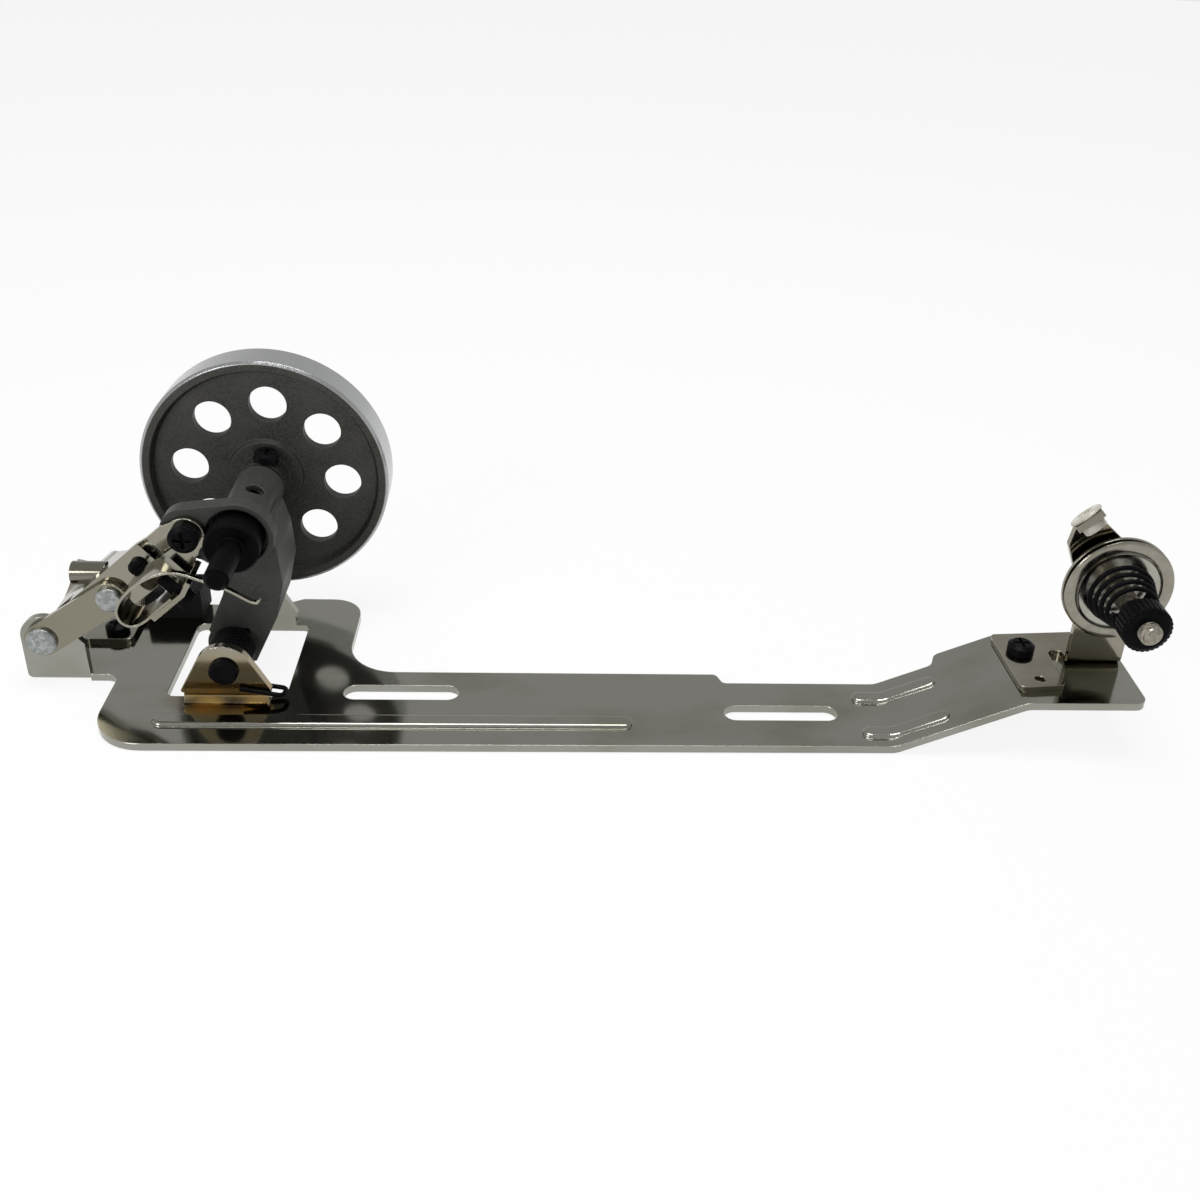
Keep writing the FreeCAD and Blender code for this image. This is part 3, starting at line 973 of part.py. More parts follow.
# ---------------------------------------------------------------- thread tension
def tension_bracket():
    """Sheet bracket on the raised end: screwed foot, upright for the disc stud, leaning arm, eyelet tab."""
    body = new_body("tension_bracket")
    gauge = s.upright_gauge
    left, right = s.upright_left, s.upright_right
    front = -s.upright_front
    foot = sketch_on(body, "XY_Plane", end_top)
    inner = s.foot_notch
    corners = [(s.foot_left + s.foot_skew, -s.foot_front), (s.foot_waist, s.foot_skew - s.foot_front), (s.foot_left, s.foot_rear),
               (right, s.foot_rear + s.foot_skew * 2)]
    polygon(foot, [corners[0], corners[1], (s.foot_waist, inner), (left, inner), (left, front), (right, front),
                   corners[3], corners[2]])
    pad(foot, gauge)
    round_edges(body, s.foot_corner, upright_edge_at(corners))
    notch = (left - s.foot_waist) / 2
    drill(body, "XY_Plane", [(s.foot_waist + notch, inner)], notch)
    fold_a = Vector(float(s.stud_x - s.tab_low_left), 0, float(s.stud_height + s.tab_low_rise))
    fold_b = Vector(float(s.stud_x - s.tab_high_left), 0, float(s.stud_height + s.tab_high_rise))
    shoulder = s.upright_shoulder
    upright = sketch_on(body, "XZ_Plane", -front)
    flare = (fold_a.x - gauge / 2, fold_a.z - s.flare_drop)
    cheek = (fold_b.x + gauge, fold_b.z - 2 * gauge)
    low_left = (left, shoulder - s.shoulder_drop)
    polygon(upright, [(left, end_top), (right, end_top), (right, shoulder),
                      (right - s.lean_run, shoulder + s.lean_rise), cheek, (fold_b.x, fold_b.z),
                      (fold_a.x, fold_a.z), flare, low_left])
    pad(upright, gauge, reverse=True)
    round_edges(body, s.upright_bend, upright_edge_at([(front, end_top)], axes=(1, 2)))
    round_edges(body, s.shoulder_corner, upright_edge_at([(right, shoulder), low_left], axes=(0, 2)))
    tab = tab_frame(fold_a, fold_b)
    width = (fold_b - fold_a).Length
    plate = tilted_sketch(body, tab.multiply(Placement(Vector(0, 0, -float(gauge) / 2), Rotation())))
    rectangle(plate, 0, width, -s.tab_root, s.tab_length)
    pad(plate, gauge)
    bend = tilted_sketch(body, tab.multiply(Placement(Vector(0, 0, 0), Rotation(Vector(0, 1, 0), 90))))
    circle(bend, 0, 0, gauge / 2)
    pad(bend, width)
    drill(body, "XZ_Plane", [(s.stud_x, s.stud_height)], s.stud_diameter / 2)
    drill(body, "XY_Plane", [(foot_screw_x, foot_screw_y)], s.small_shank / 2)
    drill(body, "XY_Plane", [(foot_screw_x + 1.0, foot_screw_y - 13.0)], s.spare_hole / 2)
    seat = tilted_sketch(body, tab.multiply(Placement(Vector(0, 0, 2.0), Rotation())))
    circle(seat, width / 2, s.tab_length / 2 + 0.2, s.eyelet_sleeve / 2)
    pocket(seat, 4.0)
    screw("tension_foot_screw", foot_screw_x, foot_screw_y, end_top + gauge, s.foot_screw_head,
          s.foot_screw_rise, s.plate_gauge + gauge)
    eyelet(tab, width)
    return body


def tab_frame(fold_a, fold_b):
    """Frame of the eyelet tab: X along its fold, Y out from the upright, Z up through the sheet."""
    along = fold_a - fold_b
    along.normalize()
    normal = Vector(-0.56, 0.43, 0.71)
    normal = normal - along * normal.dot(along)
    normal.normalize()
    out = normal.cross(along)
    middle_y = (float(s.upright_gauge) / 2) - float(s.upright_front)
    return Placement(Vector(fold_b.x, middle_y, fold_b.z), Rotation(along, out, normal, "ZXY"))


def tilted_sketch(body, frame):
    """A sketch in a slanting frame, attached to the body's XZ plane."""
    sketch = sketch_on(body, "XZ_Plane")
    plane = Placement(Vector(0, 0, 0), Rotation(Vector(1, 0, 0), 90))
    sketch.setExpression("AttachmentOffset.Base.z", None)
    sketch.AttachmentOffset = plane.inverse().multiply(frame)
    return sketch


def eyelet(tab, width):
    """Thread eyelet: flanged bush in the tab."""
    bore, sleeve, flange = s.eyelet_bore / 2, s.eyelet_sleeve / 2, s.eyelet_flange / 2
    top = s.upright_gauge / 2
    profile = [(top + 1.2, bore + 0.5), (top + 1.2, flange - 0.7), (top + 0.6, flange), (top, flange), (top, sleeve),
               (-top - 2.2, sleeve), (-top - 2.2, bore), (top + 0.7, bore)]
    stand = tab.multiply(Placement(Vector(width / 2, float(s.tab_length) / 2 + 0.2, 0), Rotation(Vector(0, 1, 0), -90)))
    turned("thread_eyelet", profile, stand)


def tension_stud():
    """Stud riveted into the upright; the discs, the spring and the knurled nut sit on it."""
    radius = s.stud_diameter / 2
    tip = -s.stud_tip_y
    rear = s.upright_gauge - s.upright_front
    length = rear - tip
    bevel = 0.6
    turned("tension_stud", [(0, 0), (0, radius - bevel), (bevel, radius), (length, radius), (length, radius + 1.6),
                            (length + 1.0, radius + 1.2), (length + 1.0, 0)], axis_along_y(s.stud_x, tip, s.stud_height))


def discs():
    """Two dished tension discs, flat faces together, rims curling apart."""
    gauge, dish, outer = s.disc_gauge, s.disc_dish, s.disc_diameter / 2
    hole = s.stud_diameter / 2 + s.disc_clearance
    flat = outer * 0.74
    for label, y, away in (("rear_tension_disc", -s.disc_web_y + gauge + s.disc_gap, 1.0),
                           ("front_tension_disc", -s.disc_web_y + gauge, -1.0)):
        body = new_body(label, axis_along_y(s.stud_x, y, s.stud_height))
        profile = [(0, hole), (0, flat), (away * dish * 0.35, outer * 0.9), (away * dish, outer),
                   (away * (dish + gauge), outer), (away * (dish * 0.35 + gauge), outer * 0.88),
                   (away * gauge, flat - 0.2), (away * gauge, hole)]
        revolve(polygon(sketch_on(body, "XY_Plane"), profile))


def tension_nut():
    """Knurled nut that sets the spring pressure."""
    radius, bore = s.nut_diameter / 2, s.stud_diameter / 2 + s.running_gap
    length, knurled = s.nut_length, s.nut_length - s.nut_neck_length
    neck = radius - s.nut_neck_step
    profile = [(0, bore), (0, radius - s.nut_crown_step), (s.nut_bevel, radius), (knurled, radius),
               (knurled, neck), (length, neck), (length, bore)]
    body = turned("tension_nut", profile, axis_along_y(s.stud_x, -s.nut_face_y, s.stud_height))
    groove = sketch_on(body, "YZ_Plane")
    polygon(groove, [(radius - s.knurl_depth, 0), (radius + s.knurl_depth, -s.knurl_half_width),
                     (radius + s.knurl_depth, s.knurl_half_width)])
    polar(body, pocket(groove, knurled, reverse=True), s.nut_knurls)


base_plate()
brake()
hinge_pin()
torsion_spring()
swing_bracket()
spindle_bushes()
spindle()
drive_wheel()
link()
lever()
lever_screws()
latch_finger()
tension_bracket()
tension_stud()
discs()
cone_spring()
tension_nut()

# ---------------------------------------------------------------- check and write
doc.recompute()
for item in doc.Objects:
    if "Invalid" in item.State or "Error" in item.State:
        raise RuntimeError("%s did not build: %s" % (item.Label, item.State))
for item in parts:
    if item.Shape.isNull() or not item.Shape.isValid() or not item.Shape.Solids:
        raise RuntimeError("%s has no sound shape" % item.Label)
os.makedirs("parts", exist_ok=True)
for item in parts:
    item.Shape.exportStep("parts/%s.step" % item.Label)
    print("%-22s %9.1f mm3  %d solid(s)" % (item.Label, item.Shape.Volume, len(item.Shape.Solids)))
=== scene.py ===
"""Looks of a bobbin winder for a sewing table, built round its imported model."""
import bmesh
import bpy
import math
from mathutils import Matrix, Vector


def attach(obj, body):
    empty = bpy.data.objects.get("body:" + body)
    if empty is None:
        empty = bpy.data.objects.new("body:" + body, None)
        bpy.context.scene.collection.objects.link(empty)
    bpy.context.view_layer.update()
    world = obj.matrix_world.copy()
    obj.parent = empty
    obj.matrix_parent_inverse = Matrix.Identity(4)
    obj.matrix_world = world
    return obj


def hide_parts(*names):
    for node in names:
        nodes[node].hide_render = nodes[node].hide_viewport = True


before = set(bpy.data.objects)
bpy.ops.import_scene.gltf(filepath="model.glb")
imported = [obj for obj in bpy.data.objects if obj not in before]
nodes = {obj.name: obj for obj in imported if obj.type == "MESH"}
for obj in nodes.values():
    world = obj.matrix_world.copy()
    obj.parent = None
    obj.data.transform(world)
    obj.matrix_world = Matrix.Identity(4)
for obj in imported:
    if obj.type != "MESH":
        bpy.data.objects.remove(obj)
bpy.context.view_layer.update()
scene = bpy.context.scene

# ---------------------------------------------------------------- camera
# The view is from the operator's side, a little above the bench and left of the middle.
scene.view_settings.view_transform = "Standard"
eye = bpy.data.cameras.new("eye")
eye_place = bpy.data.objects.new("eye", eye)
scene.collection.objects.link(eye_place)
scene.camera = eye_place
focal_px, frame_px = 1312.71, 1200.0
centre_px = (657.13, 544.37)
eye_point = (-0.008055, -0.274008, 0.195948)
to_right = Vector((0.99725842, -0.05663945, 0.04761945))
to_top = Vector((-0.0149437, 0.47611583, 0.8792556))
forward = Vector((0.07247293, 0.87755666, -0.47396412))
eye.sensor_width = 36.0
eye.lens = focal_px / frame_px * eye.sensor_width
eye.shift_x = (frame_px / 2 - centre_px[0]) / frame_px
eye.shift_y = (centre_px[1] - frame_px / 2) / frame_px
eye.clip_start = 0.01
turn = Matrix((to_right, to_top, -forward)).transposed().to_4x4()
eye_place.matrix_world = Matrix.Translation(eye_point) @ turn

# ---------------------------------------------------------------- white table
# A plain white table top.  It shows as white to the eye and in polished metal, and it keeps the
# winder's soft shadow.
bpy.ops.mesh.primitive_plane_add(size=4.0, location=(0, 0, -0.0003))
table = bpy.context.object
table.name = "table_top"
table_finish = bpy.data.materials.new("white_table")
table_finish.use_nodes = True
tree = table_finish.node_tree
tree.nodes.clear()
table_out = tree.nodes.new("ShaderNodeOutputMaterial")
matte = tree.nodes.new("ShaderNodeBsdfDiffuse")
matte.inputs["Color"].default_value = (0.9, 0.9, 0.9, 1)
glow = tree.nodes.new("ShaderNodeEmission")
blend = tree.nodes.new("ShaderNodeMixShader")
blend.inputs[0].default_value = 0.88
tree.links.new(matte.outputs[0], blend.inputs[1])
tree.links.new(glow.outputs[0], blend.inputs[2])
tree.links.new(blend.outputs[0], table_out.inputs["Surface"])
table.data.materials.append(table_finish)

# ---------------------------------------------------------------- studio light
# White all round at eye level, paler grey towards the ceiling, with two soft lamps.  Metal sees the
# same room as the eye; matt surfaces get a plain, lower level from it.
room = bpy.data.worlds.new("studio")
scene.world = room
room.use_nodes = True
sky = room.node_tree
sky.nodes.clear()


def sky_node(kind, **settings):
    """A node of the room's tree with its settings."""
    node = sky.nodes.new(kind)
    for name, value in settings.items():
        setattr(node, name, value)
    return node


direction = sky_node("ShaderNodeTexCoord")
parts = sky_node("ShaderNodeSeparateXYZ")
sky.links.new(direction.outputs["Generated"], parts.inputs[0])
fade = sky_node("ShaderNodeMapRange", interpolation_type="SMOOTHSTEP")
for socket, number in (("From Min", 0.02), ("From Max", 0.7), ("To Min", 1.0), ("To Max", 0.7)):
    fade.inputs[socket].default_value = number
sky.links.new(parts.outputs["Z"], fade.inputs["Value"])
shown = sky_node("ShaderNodeBackground")
sky.links.new(fade.outputs["Result"], shown.inputs["Strength"])
fill = sky_node("ShaderNodeBackground")
fill.inputs["Strength"].default_value = 0.35
path = sky_node("ShaderNodeLightPath")
glossy_too = sky_node("ShaderNodeMath", operation="MAXIMUM")
clear_too = sky_node("ShaderNodeMath", operation="MAXIMUM")
sky.links.new(path.outputs["Is Camera Ray"], glossy_too.inputs[0])
sky.links.new(path.outputs["Is Glossy Ray"], glossy_too.inputs[1])
sky.links.new(glossy_too.outputs[0], clear_too.inputs[0])
sky.links.new(path.outputs["Is Transmission Ray"], clear_too.inputs[1])
choose = sky_node("ShaderNodeMixShader")
sky.links.new(clear_too.outputs[0], choose.inputs[0])
sky.links.new(fill.outputs[0], choose.inputs[1])
sky.links.new(shown.outputs[0], choose.inputs[2])
sky.links.new(choose.outputs[0], sky_node("ShaderNodeOutputWorld").inputs["Surface"])


def softbox(name, place, target, width, depth, power):
    """A rectangular lamp aimed at a point."""
    lamp = bpy.data.lights.new(name, "AREA")
    lamp.shape = "RECTANGLE"
    lamp.size, lamp.size_y = width, depth
    lamp.energy = power
    holder = bpy.data.objects.new(name, lamp)
    holder.location = place
    holder.rotation_euler = (Vector(target) - Vector(place)).to_track_quat("-Z", "Y").to_euler()
    scene.collection.objects.link(holder)


softbox("overhead", (0.0, 0.0, 0.85), (0, 0, 0.02), 0.5, 0.35, 5.0)
softbox("left_front", (-0.5, -0.55, 0.4), (-0.05, 0, 0.03), 0.25, 0.3, 2.0)

# ---------------------------------------------------------------- pressed base
# One steel pressing with bright nickel plate.  The plate has faint waves from the press, a few smudges
# of duller plate, and edges that the tumbling rounded; their lighter colour is partly wear and partly a painted
# highlight.


class Finish:
    """A named finish whose patterns are fixed to the piece."""

    def __init__(self, name, colour, roughness, metallic=1.0, **sockets):
        self.material = bpy.data.materials.new(name)
        self.material.use_nodes = True
        self.tree = self.material.node_tree
        self.shader = self.tree.nodes["Principled BSDF"]
        self.shader.inputs["Base Color"].default_value = (*colour, 1)
        self.shader.inputs["Roughness"].default_value = roughness
        self.shader.inputs["Metallic"].default_value = metallic
        for socket, value in sockets.items():
            self.shader.inputs[socket.replace("_", " ")].default_value = value
        self.place = self.node("ShaderNodeTexCoord").outputs["Object"]

    def node(self, kind, sockets=(), **settings):
        """A node with its settings and input values or links."""
        made = self.tree.nodes.new(kind)
        for name, value in settings.items():
            setattr(made, name, value)
        for socket, value in dict(sockets).items():
            if hasattr(value, "is_output"):
                self.tree.links.new(value, made.inputs[socket])
            else:
                made.inputs[socket].default_value = value
        return made

    def noise(self, scale, detail=3.0, stretch=(1, 1, 1)):
        """Soft noise, its scale in waves per metre."""
        mapping = self.node("ShaderNodeMapping", {"Vector": self.place, "Scale": stretch})
        return self.node("ShaderNodeTexNoise", {"Vector": mapping.outputs[0], "Scale": scale,
                                                "Detail": detail}).outputs["Fac"]

    def spread(self, value, low, high, start=0.3, end=0.7):
        """The value's range from start to end, laid over low to high."""
        return self.node("ShaderNodeMapRange", {"Value": value, "From Min": start, "From Max": end,
                                                "To Min": low, "To Max": high}).outputs["Result"]

    def sum(self, first, second, operation="ADD"):
        """Two values put together."""
        return self.node("ShaderNodeMath", {0: first, 1: second}, operation=operation).outputs[0]

    def tint(self, amount, dark, light):
        """From one colour to another by a pattern."""
        sides = {"Factor": amount}
        for socket, colour in (("A", dark), ("B", light)):
            sides[socket] = colour if hasattr(colour, "is_output") else (*colour, 1)
        return self.node("ShaderNodeMix", sides, data_type="RGBA").outputs["Result"]

    def near(self, centre, reach, soft=0.4):
        """1 inside an oval about a point, fading to 0 outside it."""
        shift = self.node("ShaderNodeVectorMath", {0: self.place, 1: centre}, operation="SUBTRACT")
        scaled = self.node("ShaderNodeVectorMath", {0: shift.outputs[0], 1: reach}, operation="DIVIDE")
        length = self.node("ShaderNodeVectorMath", {0: scaled.outputs[0]}, operation="LENGTH")
        return self.spread(length.outputs["Value"], 1.0, 0.0, 1.0 - soft, 1.0 + soft)

    def edges(self, radius_mm):
        """A rounded normal near edges, and how much it leans from the flat one."""
        soft = self.node("ShaderNodeBevel", {"Radius": radius_mm / 1000}, samples=4)
        flat = self.node("ShaderNodeNewGeometry").outputs["Normal"]
        lean = self.node("ShaderNodeVectorMath", {0: soft.outputs[0], 1: flat}, operation="DOT_PRODUCT")
        return soft.outputs[0], self.spread(lean.outputs["Value"], 1.0, 0.0, 0.72, 0.98)

    def relief(self, height, depth_mm, strength=1.0, normal=None):
        """Bumps, their depth in millimetres, over the given normal."""
        inputs = {"Height": height, "Strength": strength, "Distance": depth_mm / 1000}
        if normal is not None:
            inputs["Normal"] = normal
        return self.node("ShaderNodeBump", inputs).outputs[0]

    def wear(self, colour=None, roughness=None, normal=None):
        """Link the finished patterns to the shader."""
        for socket, value in (("Base Color", colour), ("Roughness", roughness), ("Normal", normal)):
            if value is not None:
                self.tree.links.new(value, self.shader.inputs[socket])
        return self.material


def dress(material, *names):
    """Give CAD nodes their finish."""
    for name in names:
        nodes[name].data.materials.clear()
        nodes[name].data.materials.append(material)


def nickel(name, light, smudge, stains_and_shade=()):
    """Nickel plate over pressed sheet, with stains and painted shade at the given spots."""
    plate = Finish(name, light, 0.1)
    waves = plate.noise(30.0, detail=1.0)
    specks = plate.noise(2600.0, detail=2.0)
    clouds = plate.noise(38.0, detail=5.0, stretch=(0.7, 1.3, 1.0))
    shade = plate.tint(plate.spread(clouds, 0, 1, 0.5, 0.72), light, smudge)
    # each spot is either a stain or a patch of painted shade
    for spot, reach, stain_and_shade in stains_and_shade:
        streaks = plate.spread(plate.noise(150.0), 0.55, 1.0)
        bands = plate.sum(plate.near(spot, reach), streaks, "MULTIPLY")
        shade = plate.tint(bands, shade, stain_and_shade)
    rounded, rim = plate.edges(0.35)
    # edges painted lighter: partly wear, partly a painted highlight
    bright = tuple(min(1.0, channel * 1.9) for channel in light)
    shade = plate.tint(plate.sum(rim, plate.spread(specks, 0.5, 1.0), "MULTIPLY"), shade, bright)
    hazy = plate.sum(plate.spread(clouds, 0.07, 0.13, 0.45, 0.75), plate.spread(specks, 0.0, 0.04))
    rough = plate.sum(hazy, plate.sum(rim, 0.1, "MULTIPLY"))
    bumps = plate.relief(waves, 0.35, 0.5, rounded)
    return plate.wear(shade, rough, plate.relief(specks, 0.004, 0.5, bumps))


sheet_light, sheet_smudge = (0.300, 0.295, 0.262), (0.235, 0.232, 0.190)
straw_stain, gold_stain = (0.32, 0.25, 0.14), (0.46, 0.29, 0.09)
# painted shade colours: brown for the lever's flange and behind the tension discs, near-black along the ear's
# foot
painted_brown_shade, painted_foot_shade = (0.16, 0.115, 0.06), (0.05, 0.036, 0.02)
ear_x, ear_front = -0.0903, -0.0005
# straw and gold spots are stains on the ear; the near-black band along its foot, where it bends up from the deck,
# is painted shade
ear_spots = [((ear_x, ear_front, 0.0075), (0.014, 0.005, 0.009), straw_stain),
             ((ear_x - 0.0055, ear_front, 0.0052), (0.006, 0.004, 0.0028), gold_stain),
             ((ear_x + 0.0062, ear_front, 0.0050), (0.005, 0.004, 0.0026), gold_stain),
             ((ear_x, ear_front, 0.0024), (0.0125, 0.004, 0.0014), painted_foot_shade),
             ((ear_x - 0.004, ear_front, 0.0020), (0.0035, 0.004, 0.0012), gold_stain),
             ((ear_x + 0.0075, ear_front, 0.0020), (0.003, 0.004, 0.0012), gold_stain)]
dress(nickel("base_nickel", sheet_light, sheet_smudge, ear_spots), "base_plate")

# ---------------------------------------------------------------- hinge
# A blackened steel pin with a spring clip, through both ears of the base.  The twist spring on it
# swings the bracket's wheel towards the belt.


def blackened(name, tone=0.003, roughness=0.3, grain=900.0):
    """Steel with a black oxide skin, oily and faintly blue, worn grey at its edges."""
    steel = Finish(name, (tone, tone, tone * 1.25), roughness, metallic=0.0, Specular_IOR_Level=0.035)
    patches = steel.noise(260.0, detail=4.0)
    fine = steel.noise(grain, detail=3.0)
    rounded, rim = steel.edges(0.25)
    darkest, palest = (tone, tone, tone * 1.25), (tone * 2.2, tone * 2.2, tone * 2.6)
    worn = steel.sum(rim, steel.spread(fine, 0.2, 0.9), "MULTIPLY")
    shade = steel.tint(worn, steel.tint(steel.spread(patches, 0, 1), darkest, palest), (0.04, 0.04, 0.041))
    rough = steel.spread(patches, roughness - 0.08, roughness + 0.12)
    return steel.wear(shade, rough, steel.relief(fine, 0.01, 0.6, rounded))


black_steel = blackened("black_steel")
dress(black_steel, "hinge_pin", "torsion_spring")
zinc = Finish("zinc_plate", (0.5, 0.52, 0.53), 0.4)
spangle = zinc.node("ShaderNodeTexVoronoi", {"Vector": zinc.place, "Scale": 1100.0}).outputs["Color"]
grey = zinc.node("ShaderNodeSeparateColor", {"Color": spangle}).outputs[0]
pits = zinc.noise(700.0, detail=4.0)
rounded, rim = zinc.edges(0.3)
flakes = zinc.spread(zinc.sum(grey, pits, "MULTIPLY"), 0, 1, 0.1, 0.6)
zinc_plate = zinc.wear(zinc.tint(flakes, (0.24, 0.255, 0.25), (0.42, 0.44, 0.43)),
                       zinc.spread(pits, 0.28, 0.5), zinc.relief(pits, 0.05, 0.6, rounded))
dress(zinc_plate, "hinge_clip")

# ---------------------------------------------------------------- swinging bracket
# A zinc die casting in the sand-grey of its mould skin, bronze bushes pressed into both ends of its
# barrel.  The skin is finely pebbled and paler along its ridges.
cast = Finish("cast_grey", (0.05, 0.052, 0.048), 0.5, metallic=0.35, Specular_IOR_Level=0.3)
pebbles = cast.noise(2200.0, detail=4.0)
blotches = cast.noise(120.0, detail=4.0)
rounded, rim = cast.edges(0.5)
skin = cast.tint(cast.spread(pebbles, 0, 1), (0.036, 0.038, 0.033), (0.062, 0.064, 0.058))
skin = cast.tint(cast.spread(blotches, 0.0, 0.45, 0.4, 0.7), skin, (0.075, 0.078, 0.072))
skin = cast.tint(cast.sum(rim, 0.45, "MULTIPLY"), skin, (0.13, 0.13, 0.125))
oil_hole = cast.near((-0.0845, 0.025, 0.0458), (0.0022, 0.0022, 0.0020), 0.1)
skin = cast.tint(oil_hole, skin, (0.62, 0.58, 0.48))
dress(cast.wear(skin, cast.spread(blotches, 0.42, 0.6), cast.relief(pebbles, 0.05, 0.8, rounded)),
      "swing_bracket")
bronze = Finish("bush_bronze", (0.2, 0.15, 0.05), 0.38)
pores = bronze.noise(3000.0, detail=2.0)
dress(bronze.wear(bronze.tint(bronze.spread(pores, 0, 1), (0.13, 0.1, 0.04), (0.26, 0.2, 0.08)),
                  bronze.spread(pores, 0.3, 0.5), bronze.relief(pores, 0.02)),
      "spindle_bush_front", "spindle_bush_rear")

# ---------------------------------------------------------------- spindle
# A blackened ground spindle with a collar against the front bush.  A fine spring wire lies in its
# groove and grips the bobbin.
spindle_black = blackened("spindle_black", tone=0.0015, roughness=0.38, grain=1600.0)
dress(spindle_black, "bobbin_spindle", "spindle_collar")
dress(zinc_plate, "bobbin_grip_spring")

# ---------------------------------------------------------------- belt wheel
# A cast wheel with a grey grained web.  Its rim is turned and polished bright outside and on the
# front edge, and the set screw in the hub is blackened.
hub_axis, polished_from = (-0.0863, 0.0, 0.0427), 0.03125
wheel = Finish("wheel_cast_and_turned", (0.05, 0.05, 0.047), 0.55, metallic=1.0)
across = wheel.node("ShaderNodeVectorMath", {0: wheel.place, 1: hub_axis}, operation="SUBTRACT")
flat = wheel.node("ShaderNodeVectorMath", {0: across.outputs[0], 1: (1, 0, 1)}, operation="MULTIPLY")
radius = wheel.node("ShaderNodeVectorMath", {0: flat.outputs[0]}, operation="LENGTH").outputs["Value"]
ring = wheel.spread(radius, 0.0, 1.0, polished_from, polished_from + 0.0002)
grains = wheel.noise(1800.0, detail=4.0)
blotches = wheel.noise(90.0, detail=3.0)
web = wheel.tint(wheel.spread(grains, 0, 1), (0.044, 0.0435, 0.039), (0.092, 0.09, 0.082))
web = wheel.tint(wheel.spread(blotches, 0, 0.5, 0.4, 0.7), web, (0.102, 0.1, 0.093))
cut = {"Vector": wheel.place, "Scale": 1500.0, "Distortion": 2.0, "Detail": 2.0}
lathe = wheel.node("ShaderNodeTexWave", cut, bands_direction="Y").outputs["Fac"]
metal = wheel.tint(lathe, (0.33, 0.335, 0.335), (0.45, 0.455, 0.455))
rounded, rim = wheel.edges(0.4)
rough = wheel.sum(wheel.spread(grains, 0.5, 0.65), wheel.sum(ring, -0.38, "MULTIPLY"))
bumps = wheel.relief(wheel.sum(grains, wheel.sum(1.0, ring, "SUBTRACT"), "MULTIPLY"), 0.06, 0.8, rounded)
dress(wheel.wear(wheel.tint(ring, web, metal), rough, bumps), "drive_wheel")
dress(black_steel, "wheel_set_screw")

# ---------------------------------------------------------------- toggle and lever
# Nickel-plated strip steel: a link and the winding lever, whose thumb tab ends in a roll made here.
# The spring finger that feels how full the bobbin is, also made here, is one looped strip that
# narrows to a tongue.  Zinc rivets join them.


def made_solid(name, shape, finish, crease, stand=Matrix()):
    """The finished piece of a closed shape in metres, smooth but for its creases."""
    bmesh.ops.recalc_face_normals(shape, faces=shape.faces)
    mesh = bpy.data.meshes.new(name)
    shape.to_mesh(mesh)
    shape.free()
    mesh.transform(stand)
    mesh.shade_smooth()
    mesh.set_sharp_from_angle(angle=math.radians(crease))
    mesh.materials.append(finish)
    made = bpy.data.objects.new(name, mesh)
    scene.collection.objects.link(made)
    return made


def smooth_line(points, steps):
    """Points along a smooth curve through the given ones."""
    padded = [points[0]] + list(points) + [points[-1]]
    line = []
    for before, start, end, after in zip(padded, padded[1:], padded[2:], padded[3:]):
        for step in range(steps):
            k = step / steps
            line.append(tuple(0.5 * (2 * b + (c - a) * k + (2 * a - 5 * b + 4 * c - d) * k * k
                                     + (3 * b - a - 3 * c + d) * k ** 3)
                              for a, b, c, d in zip(before, start, end, after)))
    return line + [points[-1]]


dress(nickel("strip_nickel", (0.234, 0.22, 0.168), (0.205, 0.193, 0.15)), "link_bar")
# painted brown shade on the rear end of the lever's flange, by its thumb tab
thumb_tab_shade = ((-0.113, 0.030, 0.036), (0.006, 0.010, 0.006), painted_brown_shade)
dress(nickel("lever_nickel", (0.275, 0.262, 0.212), (0.215, 0.203, 0.16), [thumb_tab_shade]), "winding_lever")

# middle of the finger in (x, z) millimetres, from the shelf round the loop to the tongue's tip
finger_line = [(-99.8, 32.3), (-103.5, 29.0), (-106.8, 26.0), (-109.8, 24.6), (-112.2, 25.8),
               (-112.9, 28.6), (-111.3, 32.1), (-108.1, 35.5), (-104.2, 38.1), (-100.3, 39.3),
               (-96.8, 39.1), (-93.3, 37.8), (-89.5, 36.3), (-86.6, 35.0), (-84.0, 33.4),
               (-81.6, 31.9), (-80.2, 31.5), (-79.4, 32.3)]
finger_front, finger_back, tongue_back = -2.1, 7.0, -0.8
taper_from, taper_to, strip_gauge, line_steps, crease_angle = -104.6, -97.9, 0.6, 6, 40
taper_share = 0.35
strip = bmesh.new()
line = smooth_line(finger_line, line_steps)
bands = []
for index, (x, z) in enumerate(line):
    (x_from, z_from), (x_to, z_to) = line[max(0, index - 1)], line[min(len(line) - 1, index + 1)]
    run = math.hypot(x_to - x_from, z_to - z_from)
    off_x, off_z = -(z_to - z_from) / run * strip_gauge / 2, (x_to - x_from) / run * strip_gauge / 2
    share = 0.0
    if index > len(line) * taper_share:
        share = min(1.0, max(0.0, (x - taper_from) / (taper_to - taper_from)))
    back = finger_back + (tongue_back - finger_back) * share * share * (3 - 2 * share)
    bands.append([strip.verts.new((vx / 1000, vy / 1000, vz / 1000)) for vx, vy, vz in
                  ((x + off_x, finger_front, z + off_z), (x + off_x, back, z + off_z),
                   (x - off_x, back, z - off_z), (x - off_x, finger_front, z - off_z))])
for near_band, far_band in zip(bands, bands[1:]):
    for side in range(4):
        turn_to = (side + 1) % 4
        strip.faces.new((near_band[side], near_band[turn_to], far_band[turn_to], far_band[side]))
strip.faces.new(bands[0])
strip.faces.new(reversed(bands[-1]))
